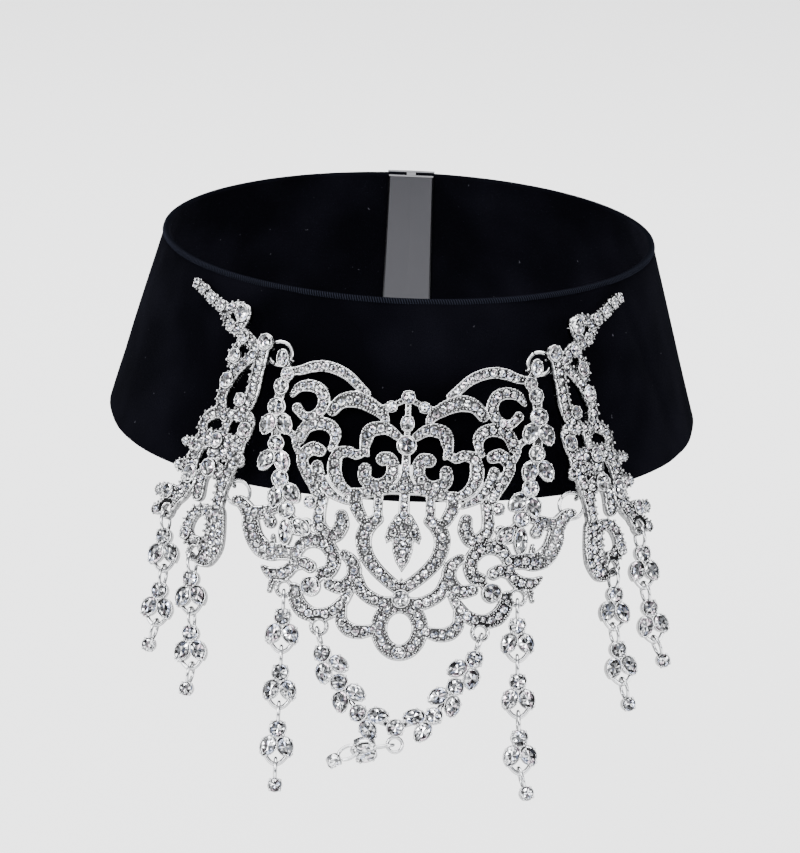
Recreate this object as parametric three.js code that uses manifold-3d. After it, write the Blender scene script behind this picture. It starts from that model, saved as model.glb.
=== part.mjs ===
import * as THREE from 'three';
import { mergeVertices } from 'three/addons/utils/BufferGeometryUtils.js';
import Module from 'manifold-3d';

const wasm = await Module();
wasm.setup();

// Driving sizes, in millimetres and degrees
const neckRadius = 60;
const bandHeight = 47;
const bandWall = 1.6;
const bandTopLevel = 22;
const frontLean = 27;
const sideLean = 16;
const backLean = 8;
const bandSteps = 40;
const bandRows = 1;

const claspGap = 3;
const claspReach = 6;
const claspWall = 1;
const pieceGap = 0.3;
const mergeWithin = 1e-4;

const castThick = 1.6;
const castBack = -castThick / 2;
const scrollWide = 3.4;
const scrollTurn = 58;
const turnSamples = 24;
const leastSteps = 2;
const bluntEnd = 93;
const endShare = 0.5;
const endReach = 0.32;
const studSides = 8;
const stoneWide = 4.2;
const stoneSides = 8;
const stoneSeat = 0.45;
const stoneRise = 0.9;
const tableShare = 0.6;
const leafLong = 5.4;
const leafWide = 3.9;
const leafReach = 4.5;
const leafSpread = 26;

const jewelShift = 1.4;
const plateHalf = 25;
const plateTall = 50;
const plateBend = 107;
const plateLevel = 9;
const plateStandoff = 3.4;
const plateEase = 2;

const sideWide = 20;
const sideTall = 50;
const sideBend = 78;
const sideSpan = 4.6;
const sideEase = 1.2;
const strandGap = 1.3;
const widestTurn = 90;
const turnTries = 24;
const studWide = 1.8;

const ringWire = 0.9;
const ringSides = 12;
const ringWireSides = 5;
const eyeWire = 0.75;
const eyeSides = 10;
const eyeWireSides = 5;
const lugSides = 6;
const eyeDepth = 1.1;

const eyeletHole = 1.3;
const eyeletWire = 0.95;
const eyeletThick = 1;
const eyeletSides = 10;
const boreDeep = 4 * castThick;
const bottomSides = 16;

const loopWire = 0.8;
const loopReach = 4.7;
const loopDeep = 1.7;
const hookGap = 0.5;
const bailDrop = 8;
const bailWire = 1;
const bailHalf = 3.2;
const bailRise = 2.6;
const shortBailDrop = 7;
const shortReach = 1;
const leafRoot = 3.6;
const barWide = 1.8;
const endStoneWide = 3.4;

const swagHalf = 20;
const swagDeep = 20;
const hangEyeHole = 1.3;
const hangEyeWire = 0.8;

// Scrolls of the centre plate, in hundredths: across of plateHalf, down of plateTall, wide of scrollWide
const centreScrolls = [
  { name: 'outer_arch', across: [112, 100, 90, 78, 66, 55, 45, 37],
    down: [4, 3.5, 2, 1.5, 3, 6, 10.5, 13.5], wide: [48, 71, 81, 81, 81, 76, 71, 48] },
  { name: 'c_scroll', across: [107, 101, 91, 81, 77, 81, 90, 97, 102],
    down: [15, 11.5, 10.5, 12.5, 17.5, 22.5, 25, 24, 21], wide: [41, 74, 87, 90, 90, 83, 69, 69, 78] },
  { name: 'second_arch', across: [69, 62, 52, 41, 31, 23, 19],
    down: [22, 18, 16.5, 17.5, 20, 23, 26.5], wide: [82, 102, 117, 112, 102, 82, 51] },
  { name: 'third_arch', across: [99, 93, 83, 73, 66, 65.5, 69],
    down: [35, 30, 28, 28.5, 31.5, 35.5, 39.5], wide: [95, 95, 95, 95, 90, 71, 48] },
  { name: 'comma', across: [79, 86, 93, 95, 90, 83, 80],
    down: [40.5, 39.5, 42, 45.5, 51, 56.5, 60], wide: [90, 100, 95, 86, 86, 86, 76] },
  { name: 'inner_comma', across: [81, 79, 73, 65, 53],
    down: [47.5, 51.5, 56.5, 60.5, 63.5], wide: [86, 90, 81, 66, 43] },
  { name: 'crescent', across: [53, 62, 65, 64, 58, 48],
    down: [40.5, 42, 46.5, 51.5, 56.5, 60], wide: [66, 86, 104, 103, 86, 57] },
  { name: 'crescent_branch', across: [62, 53, 45, 37],
    down: [41, 40.5, 42, 40], wide: [80, 80, 70, 60] },
  { name: 'central_c', across: [8, 17, 26, 34, 37, 38, 35],
    down: [33, 30, 29.5, 31, 35, 39.5, 42], wide: [65, 85, 100, 105, 95, 60, 35] },
  { name: 'curl', across: [37, 36.5, 28, 20, 13, 11.5, 14.5, 21],
    down: [48.5, 53, 55.5, 55, 51.5, 47, 43.5, 43.5], wide: [95, 95, 95, 95, 95, 95, 95, 100] },
  { name: 'fan_bar', across: [45, 30, 15, 0], down: [60, 58.5, 57, 57], wide: [80, 80, 80, 80] },
  { name: 'fan_outer', across: [45, 44, 38], down: [60, 65, 71], wide: [95, 95, 80] },
  { name: 'fan_inner', across: [23, 24, 24], down: [58, 65, 71], wide: [65, 65, 75] },
  { name: 'pointed_oval', across: [23, 31, 35.5, 35, 31, 23, 13, 2],
    down: [71, 74, 78.5, 84, 89, 94, 98.5, 102.5], wide: [77, 108, 115, 108, 103, 98, 93, 88] },
  { name: 'lower_arm', across: [40, 35, 23, 12, 0],
    down: [98, 104, 108, 109, 108], wide: [80, 95, 95, 90, 90] },
  { name: 'side_crescent', across: [53, 46, 43, 46, 54, 65],
    down: [87.5, 90.5, 95, 99.5, 102.5, 101.5], wide: [68, 89, 105, 105, 100, 84] },
  { name: 'ring_scroll', across: [100, 97, 91, 81, 71, 64, 62.5, 66, 72],
    down: [93, 87.5, 83, 81.5, 83, 87, 91.5, 95.5, 96.5],
    wide: [77, 77, 99, 105, 105, 105, 105, 99, 94] },
  { name: 'horn', across: [129, 120, 108, 99.5, 91, 84],
    down: [94, 97, 96.8, 93.5, 92, 93.5], wide: [27, 86, 103, 81, 92, 92] },
  { name: 'horn_barb', across: [118, 121.5], down: [98, 105], wide: [55, 30] },
  { name: 'u_crescent', across: [98, 95, 88, 76, 63, 53, 46],
    down: [104, 109, 113.5, 115.5, 114, 109.5, 104], wide: [94, 110, 116, 99, 88, 82, 61] },
  { name: 'low_crescent', across: [52, 53, 46, 35, 22],
    down: [111, 117.5, 121.5, 122.5, 121], wide: [54, 86, 103, 97, 70] },
  { name: 'j_hook', across: [75, 77, 77, 71, 62, 56.5, 57],
    down: [62, 68, 74, 78, 79, 74.5, 70], wide: [80, 85, 95, 100, 100, 108, 90] },
  { name: 'outer_scroll', across: [158, 152, 144, 142, 138, 131, 122, 113, 105, 98],
    down: [63.5, 64.5, 69.5, 75, 80.5, 85, 87, 87, 87.5, 87],
    wide: [61, 88, 115, 128, 128, 135, 128, 115, 101, 81] },
  { name: 'trefoil', across: [142, 132, 122, 114], down: [69, 69, 67.5, 66], wide: [88, 94, 77, 77] },
  { name: 'trefoil_lobe', across: [128, 123], down: [69, 73.5], wide: [77, 88] },
  { name: 'thorn', across: [120, 120], down: [86, 79.5], wide: [70, 25] },
  { name: 'column', across: [117, 112, 117, 121, 121, 120, 116, 113, 108, 107],
    down: [-2, 5, 11, 20, 30, 37, 46, 53, 61, 72], wide: [58, 63, 72, 72, 72, 72, 72, 72, 72, 63] },
  { name: 'column_link', across: [111, 104, 102, 98], down: [31, 34, 38, 42], wide: [55, 50, 50, 55] },
  { name: 'crown_link', across: [24, 15, 3], down: [20, 19, 16], wide: [45, 45, 45] },
  { name: 'boss_link', across: [98, 83, 72], down: [104, 102.5, 96.5], wide: [60, 60, 60] },
  { name: 'tilted_link', across: [108, 93, 80], down: [69, 75.5, 81], wide: [50, 50, 50] },
];

// Scrolls on the axis of the centre plate, same columns
const axisScrolls = [
  { name: 'crown_bar', across: [0, 0], down: [15, 40], wide: [45, 45] },
  { name: 'axis_bar', across: [0, 0], down: [40, 70], wide: [60, 80] },
];

// Half outlines about the axis of the centre plate, in hundredths of plateHalf and plateTall
const centreLeaves = [
  { name: 'acorn', across: [0, 8, 14, 17, 15, 10, 9.5, 6.5, 0],
    down: [66, 69, 74, 79, 82, 80.5, 85, 90, 95] },
  { name: 'wedge', across: [0, 4, 6, 14, 0], down: [46, 48, 52, 58, 60] },
  { name: 'spike', across: [0, 2.5, 2.5, 0], down: [97, 99, 104, 105] },
];

// Single stones of the centre plate: size in hundredths of stoneWide, tall in hundredths of size
const centreStones = [
  { name: 'corner', across: 117.5, down: -2, size: 70, tall: 145, turn: 0 },
  { name: 'shoulder', across: 112, down: 5.5, size: 76, tall: 100, turn: 0 },
  { name: 'upper', across: 117.5, down: 11, size: 85, tall: 112, turn: 0 },
  { name: 'column_1', across: 121, down: 20.5, size: 105, tall: 100, turn: 0 },
  { name: 'column_2', across: 120, down: 37.5, size: 95, tall: 100, turn: 0 },
  { name: 'column_3', across: 115, down: 53.5, size: 98, tall: 100, turn: 0 },
  { name: 'column_4', across: 108, down: 68, size: 92, tall: 100, turn: 0 },
  { name: 'marquise', across: 108, down: 78, size: 78, tall: 195, turn: 0 },
  { name: 'tilted', across: 93, down: 75.5, size: 78, tall: 160, turn: 48 },
  { name: 'boss', across: 82.5, down: 102.5, size: 112, tall: 100, turn: 0 },
];
const axisStones = [
  { name: 'crown_top', across: 0, down: 15, size: 80, tall: 100, turn: 0 },
  { name: 'heart', across: 0, down: 27, size: 78, tall: 125, turn: 0 },
  { name: 'middle', across: 0, down: 37, size: 112, tall: 100, turn: 0 },
  { name: 'joint', across: 0, down: 107, size: 100, tall: 100, turn: 0 },
  { name: 'foot', across: 0, down: 131.5, size: 75, tall: 100, turn: 0 },
];

// Leaf pairs of the centre plate: they spread below a stone, heading is degrees towards the axis
const centrePairs = [
  { name: 'pair_1', across: 121, down: 20.5, heading: 0 },
  { name: 'pair_2', across: 120, down: 37.5, heading: -5 },
  { name: 'pair_3', across: 115, down: 53.5, heading: 14 },
];

const bottomRing = { across: 0, down: 120.5, half: 18.5, tall: 10.8, wide: 112 };

// Eyelets of the centre plate and the places of its ring eyes
const centreHooks = [
  { name: 'drop', across: 107.5, down: 103.7 },
  { name: 'swag', across: 73.5, down: 120.5 },
  { name: 'upper_eye', across: 113, down: -2 },
  { name: 'lower_eye', across: 153, down: 64.5 },
];
const [dropEyelet, swagEyelet, upperEye, lowerEye] = centreHooks;

// Scrolls of a side plate, in hundredths: across of sideWide, down of sideTall, wide of scrollWide
const sideScrolls = [
  { name: 'strand', across: [16, 40, 60, 76, 90, 110, 130, 154],
    down: [-2, -7, -9, -12, -17.5, -20, -23, -26], wide: [86, 86, 76, 76, 76, 74, 70, 63] },
  { name: 'strand_loop', across: [52, 50, 62, 76, 86],
    down: [-10, -16, -19, -18, -17], wide: [66, 86, 95, 76, 57] },
  { name: 'wall', across: [10, 9, 7.5, 6, 8, 14],
    down: [-7, 2, 10, 17, 23, 27], wide: [104, 109, 104, 104, 100, 86] },
  { name: 'wall_curl', across: [14, 19], down: [27, 22], wide: [76, 95] },
  { name: 'branch', across: [18, 28, 37, 46, 49, 44, 36],
    down: [-1, 4, 9, 15, 22, 27.5, 31], wide: [86, 76, 71, 100, 90, 90, 86] },
  { name: 'small_loop', across: [36, 46, 53, 46, 33],
    down: [-6, -3, 3, 8, 6], wide: [48, 52, 57, 52, 48] },
  { name: 'waist_in', across: [9, 0, -1, 3, 12],
    down: [27, 30, 35, 40, 43], wide: [76, 95, 100, 100, 95] },
  { name: 'waist_mid', across: [3, 16, 30, 44, 58],
    down: [30, 29.5, 30, 30, 33], wide: [76, 76, 81, 81, 76] },
  { name: 'waist_bar', across: [28, 29, 30], down: [30, 37, 44], wide: [71, 66, 76] },
  { name: 'waist_out', across: [44, 58, 65, 60, 50],
    down: [29, 32, 37, 41, 44], wide: [71, 86, 86, 86, 86] },
  { name: 'body', across: [6, 22, 40, 58], down: [43.5, 43, 43, 43], wide: [142, 142, 142, 133] },
  { name: 'body_low', across: [-3, 10, 26, 38], down: [49, 48, 47.5, 49], wide: [95, 114, 104, 86] },
  { name: 'leg_arch', across: [10, 22, 36, 44, 42],
    down: [62, 56, 55, 61, 69], wide: [90, 95, 109, 104, 104] },
  { name: 'leg_in', across: [4, 8, 10, 9, 7], down: [50, 57, 64, 71, 77], wide: [95, 100, 95, 90, 100] },
  { name: 'lobe', across: [7, 2, 0, 3, 10],
    down: [76, 84, 90, 95, 97], wide: [142, 162, 171, 152, 104] },
  { name: 'lobe_ring', across: [12, 24, 37, 43, 42, 34, 24],
    down: [77, 75, 77, 82, 87, 90, 90], wide: [81, 76, 81, 86, 86, 86, 76] },
  { name: 'leg_out', across: [58, 64, 65, 62, 68, 75, 77],
    down: [43, 50, 57, 64, 70, 74, 77], wide: [114, 119, 119, 124, 124, 104, 86] },
  { name: 'prong_1', across: [64, 76, 88], down: [45.5, 46.5, 47], wide: [71, 71, 57] },
  { name: 'prong_2', across: [66, 78, 88], down: [57, 58, 58.5], wide: [104, 100, 71] },
  { name: 'prong_3', across: [74, 92, 110], down: [72, 71.5, 72], wide: [104, 100, 76] },
  { name: 'prong_4', across: [84, 95, 106], down: [75, 79.5, 81.5], wide: [100, 90, 71] },
];

// Single stones of a side plate
const sideStones = [
  { name: 'corner', across: 8, down: -6.5, size: 98, tall: 100, turn: 0 },
  { name: 'strand_3', across: 92, down: -18, size: 72, tall: 100, turn: 0 },
  { name: 'loop_lobe', across: 54, down: -17, size: 98, tall: 110, turn: 40 },
  { name: 'small_round', across: 46, down: 3, size: 84, tall: 100, turn: 0 },
  { name: 'branch_1', across: 47, down: 15, size: 95, tall: 100, turn: 0 },
  { name: 'waist_1', across: 0, down: 35, size: 92, tall: 100, turn: 0 },
  { name: 'leg_1', across: 36, down: 56, size: 100, tall: 110, turn: 60 },
  { name: 'out_1', across: 62, down: 61, size: 100, tall: 110, turn: 0 },
  { name: 'out_2', across: 90, down: 71.5, size: 90, tall: 100, turn: 0 },
];

// Eyelets of a side plate, the places of its ring eyes and the end of its strand
const sideHooks = [
  { name: 'inner', across: 23, down: 95 },
  { name: 'outer', across: 84, down: 80 },
  { name: 'upper_eye', across: 8, down: -5 },
  { name: 'lower_eye', across: 6, down: 59.5 },
  { name: 'strand_end', across: 154, down: -26 },
];
const [innerEyelet, outerEyelet, sideUpperEye, sideLowerEye, strandEnd] = sideHooks;

// Stones of the swag, in hundredths of swagHalf and swagDeep below the eyelets
const swagStones = [
  { name: 'first', across: 86, down: 22, heading: 33 },
  { name: 'second', across: 65.5, down: 54, heading: 33 },
  { name: 'third', across: 42.5, down: 88, heading: 59 },
];
const swagMiddle = { name: 'middle', across: 0, down: 103 };

// How each drop hangs: lean is degrees in the plane of its plate, twist is degrees about its length
const dropHang = {
  front_drop_left: [{ lean: 0, twist: 0 }, { lean: 0, twist: 0 },
    { lean: 1, twist: 4 }, { lean: 0, twist: 8 }],
  front_drop_right: [{ lean: -2, twist: 0 }, { lean: -3, twist: 4 },
    { lean: -4, twist: 8 }, { lean: -18, twist: 12 }],
  inner_drop_left: [{ lean: -20, twist: 10 }, { lean: -20, twist: 16 }, { lean: -6, twist: 22 }],
  outer_drop_left: [{ lean: -18, twist: 10 }, { lean: -10, twist: 16 }, { lean: 0, twist: 22 }],
  inner_drop_right: [{ lean: 17, twist: -10 }, { lean: 4, twist: -16 }, { lean: 0, twist: -22 }],
  outer_drop_right: [{ lean: 10, twist: -10 }, { lean: 2, twist: -16 }, { lean: -10, twist: -22 }],
};
const pendantHang = [{ lean: 80, twist: 55 }, { lean: 62, twist: 60 }];

const alloy = { color: 0xdfe1e6, roughness: 0.22, metalness: 1 };
const crystal = { color: 0xeef0f4, roughness: 0.08, metalness: 0.6 };
const velvet = { color: 0x0a0a0c, roughness: 0.95, metalness: 0 };

const radians = THREE.MathUtils.degToRad;
const share = (hundredths, size) => (hundredths / 100) * size;

// Closed solids and their joins
function toSolid(geometry) {
  const bare = geometry.clone();
  bare.deleteAttribute('normal');
  bare.deleteAttribute('uv');
  const merged = mergeVertices(bare, mergeWithin);
  const index = merged.index.array;
  const kept = [];
  for (let i = 0; i < index.length; i += 3) {
    const [a, b, c] = [index[i], index[i + 1], index[i + 2]];
    if (a !== b && b !== c && c !== a) kept.push(a, b, c);
  }
  const vertProperties = Float32Array.from(merged.attributes.position.array);
  return new wasm.Manifold(new wasm.Mesh({ numProp: 3, vertProperties, triVerts: Uint32Array.from(kept) }));
}

function toGeometry(solid) {
  const mesh = solid.getMesh();
  const geometry = new THREE.BufferGeometry();
  const points = [];
  for (let i = 0; i < mesh.numVert; i += 1) {
    for (let k = 0; k < 3; k += 1) points.push(mesh.vertProperties[i * mesh.numProp + k]);
  }
  geometry.setAttribute('position', new THREE.Float32BufferAttribute(points, 3));
  geometry.setIndex(Array.from(mesh.triVerts));
  return geometry;
}

function joined(geometries) {
  let solid = toSolid(geometries[0]);
  for (const geometry of geometries.slice(1)) solid = solid.add(toSolid(geometry));
  return toGeometry(solid);
}

function moved(geometry, change) {
  const position = geometry.attributes.position;
  const point = new THREE.Vector3();
  for (let i = 0; i < position.count; i += 1) {
    point.fromBufferAttribute(position, i);
    change(point);
    position.setXYZ(i, point.x, point.y, point.z);
  }
  return geometry;
}

// Flat castings are drawn in x and z with their face towards -y, half of the thickness on each side
function faceForward(geometry, thick) {
  geometry.translate(0, 0, -thick / 2);
  return geometry.rotateX(Math.PI / 2);
}

function turningOf(curve) {
  let turning = 0;
  let last = curve.getTangent(0);
  for (let i = 1; i <= turnSamples; i += 1) {
    const next = curve.getTangent(i / turnSamples);
    turning += Math.acos(THREE.MathUtils.clamp(last.dot(next), -1, 1));
    last = next;
  }
  return turning;
}

function scroll(row, side, half, tall) {
  const points = row.across.map((across, i) => {
    return new THREE.Vector2(side * share(across, half), -share(row.down[i], tall));
  });
  const curve = new THREE.SplineCurve(points);
  const least = Math.min(points.length - 1, leastSteps);
  const steps = Math.max(least, Math.ceil(turningOf(curve) / radians(scrollTurn)));
  const widthAt = (t) => {
    const place = t * (row.wide.length - 1);
    const i = Math.min(Math.floor(place), row.wide.length - 2);
    return share(THREE.MathUtils.lerp(row.wide[i], row.wide[i + 1], place - i), scrollWide);
  };
  const blunt = (i) => (row.wide[i] >= bluntEnd ? 1 : 0);
  const first = blunt(0);
  const stations = first + steps + blunt(row.wide.length - 1);
  return moved(new THREE.BoxGeometry(1, 1, 1, stations, 1, 1), (p) => {
    const station = Math.round((p.x + 0.5) * stations) - first;
    const t = THREE.MathUtils.clamp(station / steps, 0, 1);
    const past = Math.sign(station - t * steps);
    const wide = widthAt(t);
    const middle = curve.getPoint(t);
    const along = curve.getTangent(t);
    middle.addScaledVector(along, past * wide * endReach);
    const offset = p.y * wide * (past === 0 ? 1 : endShare);
    p.set(middle.x - along.y * offset, -p.z * castThick, middle.y + along.x * offset);
  });
}

function outline(row, half, tall) {
  const right = row.across.map((a, i) => new THREE.Vector2(share(a, half), -share(row.down[i], tall)));
  const left = right.slice(1, -1).reverse().map((p) => new THREE.Vector2(-p.x, p.y));
  const shape = new THREE.Shape([...right, ...left]);
  return faceForward(new THREE.ExtrudeGeometry(shape, { depth: castThick, bevelEnabled: false }), castThick);
}

function ring2d(x, z, halfWide, halfTall, wire, thick, sides) {
  const shape = new THREE.Shape();
  shape.absellipse(x, z, halfWide + wire / 2, halfTall + wire / 2, 0, 2 * Math.PI);
  const hole = new THREE.Path();
  hole.absellipse(x, z, halfWide - wire / 2, halfTall - wire / 2, 0, 2 * Math.PI);
  shape.holes.push(hole);
  const cut = { depth: thick, bevelEnabled: false, curveSegments: sides / 2 };
  return faceForward(new THREE.ExtrudeGeometry(shape, cut), thick);
}

// A stone has a flat table and a ring of slanted facets
function stone(x, z, wide, long, turn, back) {
  const top = castThick / 2 + stoneRise;
  const profile = [[0, back], [0.5, back], [0.5 * tableShare, top], [0, top]];
  const gem = new THREE.LatheGeometry(profile.map(([r, h]) => new THREE.Vector2(r, h)), stoneSides);
  gem.scale(wide, 1, long);
  gem.rotateX(Math.PI);
  gem.rotateY(turn);
  return gem.translate(x, 0, z);
}

function roundStone(x, z, wide) {
  return stone(x, z, wide, wide, 0, castBack);
}

function tableStone(row, side, half, tall) {
  const wide = share(row.size, stoneWide);
  return stone(side * share(row.across, half), -share(row.down, tall), wide, share(row.tall, wide),
    side * radians(row.turn), stoneSeat);
}

function leafPair(x, z, heading, back) {
  return [-1, 1].map((hand) => {
    const turn = heading + hand * radians(leafSpread);
    const tipX = x + Math.sin(turn) * leafReach;
    const tipZ = z - Math.cos(turn) * leafReach;
    return stone(tipX, tipZ, leafWide, leafLong, -turn, back);
  });
}

function bend(geometry, radius) {
  return moved(geometry, (p) => {
    const angle = p.x / radius;
    const reach = radius - p.y;
    p.set(reach * Math.sin(angle), radius - reach * Math.cos(angle), p.z);
  });
}

function bentPoint(x, z, out, radius) {
  const angle = x / radius;
  return new THREE.Vector3((radius + out) * Math.sin(angle), radius - (radius + out) * Math.cos(angle), z);
}

// The neck band: a cone that leans out more at the front than at the back
function leanAt(around) {
  const front = Math.max(0, Math.cos(around)) ** 2;
  const back = Math.max(0, -Math.cos(around)) ** 2;
  return radians(sideLean + (frontLean - sideLean) * front - (sideLean - backLean) * back);
}

function bandPoint(around, down, out) {
  const lean = leanAt(around);
  const reach = neckRadius + Math.sin(lean) * down + Math.cos(lean) * out;
  const level = bandTopLevel - Math.cos(lean) * down + Math.sin(lean) * out;
  return new THREE.Vector3(Math.sin(around) * reach, -Math.cos(around) * reach, level);
}

function bandRadiusAt(around, level) {
  const down = (bandTopLevel - level) / Math.cos(leanAt(around));
  return neckRadius + Math.sin(leanAt(around)) * down;
}

function velvetBand() {
  const reach = Math.PI - claspGap / 2 / neckRadius;
  const strip = new THREE.BoxGeometry(2 * reach, bandHeight, bandWall, bandSteps, bandRows, 1);
  return moved(strip, (p) => p.copy(bandPoint(p.x, bandHeight / 2 - p.y, p.z - bandWall / 2)));
}

function bandClasp() {
  const inner = -bandWall - pieceGap;
  const web = claspGap / 2 - pieceGap;
  const section = [
    [-claspReach, pieceGap + claspWall], [claspReach, pieceGap + claspWall], [claspReach, pieceGap],
    [web, pieceGap], [web, inner], [claspReach, inner], [claspReach, inner - claspWall],
    [-claspReach, inner - claspWall], [-claspReach, inner], [-web, inner],
    [-web, pieceGap], [-claspReach, pieceGap],
  ];
  const shape = new THREE.Shape(section.map(([x, y]) => new THREE.Vector2(x, y)));
  const bar = new THREE.ExtrudeGeometry(shape, { depth: bandHeight, bevelEnabled: false });
  return moved(bar, (p) => p.copy(bandPoint(Math.PI + p.x / neckRadius, p.z, p.y)));
}

// Frames that carry the plates
const plateLean = radians(frontLean - plateEase);
const plateOrigin = new THREE.Vector3(jewelShift, -bandRadiusAt(0, plateLevel) - plateStandoff, plateLevel);

function plateFrame(origin, azimuth, lean) {
  const frame = new THREE.Matrix4().makeRotationZ(azimuth);
  frame.multiply(new THREE.Matrix4().makeRotationX(-lean));
  return frame.setPosition(origin);
}

const centreFrame = plateFrame(plateOrigin, 0, plateLean);

function centrePlace(row, side, out) {
  const point = bentPoint(side * share(row.across, plateHalf), -share(row.down, plateTall), out, plateBend);
  return point.applyMatrix4(centreFrame);
}

function sidePlace(row, side, out, frame) {
  const point = bentPoint(side * share(row.across, sideWide), -share(row.down, sideTall), out, sideBend);
  return point.applyMatrix4(frame);
}

// A side plate turns about its inner edge until the end of its strand lies on the band
function sideFrame(side) {
  const corner = centrePlace(upperEye, side, 0);
  const origin = corner.add(new THREE.Vector3(side * sideSpan, 0, 0));
  let open = 0;
  let closed = widestTurn;
  for (let i = 0; i < turnTries; i += 1) {
    const turn = (open + closed) / 2;
    const lean = leanAt(radians(turn)) + radians(sideEase);
    const end = sidePlace(strandEnd, side, 0, plateFrame(origin, side * radians(turn), lean));
    const spare = Math.hypot(end.x, end.y) - bandRadiusAt(Math.atan2(end.x, -end.y), end.z);
    if (spare > strandGap) open = turn;
    else closed = turn;
  }
  return plateFrame(origin, side * radians(open), leanAt(radians(open)) + radians(sideEase));
}

// Jump rings stand behind the plates, and each runs through one eye of both
function ringFrame(start, end, facing) {
  const across = end.clone().sub(start);
  const radius = across.length() / 2;
  across.normalize();
  const normal = facing.clone().addScaledVector(across, -facing.dot(across)).normalize();
  const upward = new THREE.Vector3().crossVectors(normal, across);
  const frame = new THREE.Matrix4().makeBasis(across, upward, normal);
  frame.setPosition(start.clone().add(end).multiplyScalar(0.5));
  return { frame, radius };
}

function ringEye(ring, hand) {
  const hole = (ringWire / 2 + pieceGap) / Math.cos(Math.PI / lugSides);
  const eye = ring2d(0, 0, hole + eyeWire / 2, hole + eyeWire / 2, eyeWire, eyeWire, lugSides);
  eye.translate(hand * ring.radius, 0, 0);
  return eye.applyMatrix4(ring.frame);
}

function faceOf(frame) {
  return new THREE.Vector3(0, -1, 0).transformDirection(frame);
}

function ringBetween(centreRow, sideRow, side, frame) {
  const back = -castThick / 2 - eyeDepth;
  const facing = faceOf(centreFrame).add(faceOf(frame)).normalize();
  return ringFrame(centrePlace(centreRow, side, back), sidePlace(sideRow, side, back, frame), facing);
}

const sides = { left: -1, right: 1 };
const frames = {};
const rings = {};
for (const [hand, side] of Object.entries(sides)) {
  frames[hand] = sideFrame(side);
  rings[hand] = {
    upper: ringBetween(upperEye, sideUpperEye, side, frames[hand]),
    lower: ringBetween(lowerEye, sideLowerEye, side, frames[hand]),
  };
}

function eyeletDisc(row, side, half, tall) {
  const reach = eyeletHole + eyeletWire;
  const disc = new THREE.CylinderGeometry(reach, reach, eyeletThick, eyeletSides);
  return disc.translate(side * share(row.across, half), 0, -share(row.down, tall));
}

function centrePlate() {
  const pieces = [];
  for (const row of axisScrolls) pieces.push(scroll(row, 1, plateHalf, plateTall));
  for (const row of centreLeaves) pieces.push(outline(row, plateHalf, plateTall));
  for (const row of axisStones) pieces.push(tableStone(row, 1, plateHalf, plateTall));
  pieces.push(ring2d(0, -share(bottomRing.down, plateTall), share(bottomRing.half, plateHalf),
    share(bottomRing.tall, plateTall), share(bottomRing.wide, scrollWide), castThick, bottomSides));
  for (const side of [-1, 1]) {
    for (const row of centreScrolls) pieces.push(scroll(row, side, plateHalf, plateTall));
    for (const row of centreStones) pieces.push(tableStone(row, side, plateHalf, plateTall));
    for (const row of centrePairs) {
      pieces.push(...leafPair(side * share(row.across, plateHalf), -share(row.down, plateTall),
        -side * radians(row.heading), stoneSeat));
    }
  }
  const holes = [];
  for (const side of [-1, 1]) {
    for (const row of [dropEyelet, swagEyelet]) {
      pieces.push(eyeletDisc(row, side, plateHalf, plateTall));
      holes.push(eyeletBore(row, side, plateHalf, plateTall));
    }
  }
  let flat = toSolid(joined(pieces));
  for (const hole of holes) flat = flat.subtract(toSolid(hole));
  const bent = bend(toGeometry(flat), plateBend);
  const back = centreFrame.clone().invert();
  const eyes = Object.values(rings).flatMap((pair) => [ringEye(pair.upper, -1), ringEye(pair.lower, -1)]);
  return joined([bent, ...eyes.map((eye) => eye.applyMatrix4(back))]);
}

function eyeletBore(row, side, half, tall) {
  const bore = new THREE.CylinderGeometry(eyeletHole, eyeletHole, boreDeep, eyeletSides);
  return bore.translate(side * share(row.across, half), 0, -share(row.down, tall));
}

function sidePlate(hand) {
  const side = sides[hand];
  const pieces = [];
  for (const row of sideScrolls) pieces.push(scroll(row, side, sideWide, sideTall));
  for (const row of sideStones) pieces.push(tableStone(row, side, sideWide, sideTall));
  for (const row of [innerEyelet, outerEyelet]) pieces.push(eyeletDisc(row, side, sideWide, sideTall));
  let flat = toSolid(joined(pieces));
  for (const row of [innerEyelet, outerEyelet]) {
    flat = flat.subtract(toSolid(eyeletBore(row, side, sideWide, sideTall)));
  }
  const bent = bend(toGeometry(flat), sideBend);
  const back = frames[hand].clone().invert();
  const eyes = [ringEye(rings[hand].upper, 1), ringEye(rings[hand].lower, 1)];
  const extras = [...eyes, strandStud(side, frames[hand])];
  return joined([bent, ...extras.map((piece) => piece.applyMatrix4(back))]);
}

// A short stud at the end of the strand is sewn to the top edge of the band
function strandStud(side, frame) {
  const end = sidePlace(strandEnd, side, 0, frame);
  const around = Math.atan2(end.x, -end.y);
  const lean = leanAt(around);
  const inner = bandRadiusAt(around, end.z) + pieceGap / Math.cos(lean) + studWide * Math.sin(lean);
  const reach = Math.hypot(end.x, end.y) - inner;
  const stud = new THREE.CylinderGeometry(studWide / 2, studWide / 2, Math.max(reach, pieceGap), studSides);
  stud.rotateX(Math.PI / 2);
  stud.translate(0, -inner - reach / 2, end.z);
  return stud.rotateZ(around);
}

// Drops: a stone with a wire loop above it, then a leaf pair that ends in a wire bail
function wireLoop(twist, reach = loopReach, low = stoneWide / 2 - loopWire) {
  const top = reach + eyeletWire / 2 + hookGap + loopWire / 2;
  const half = (top - low) / 2;
  const loop = new THREE.TorusGeometry(1, loopWire / 2, eyeWireSides, eyeSides);
  moved(loop, (p) => {
    const spoke = Math.hypot(p.x, p.y);
    const grown = (spoke - 1) / spoke;
    p.set(p.z, (p.x / spoke) * loopDeep + p.x * grown, (p.y / spoke) * half + p.y * grown);
  });
  loop.translate(0, 0, top - half);
  return loop.rotateZ(twist);
}

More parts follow.
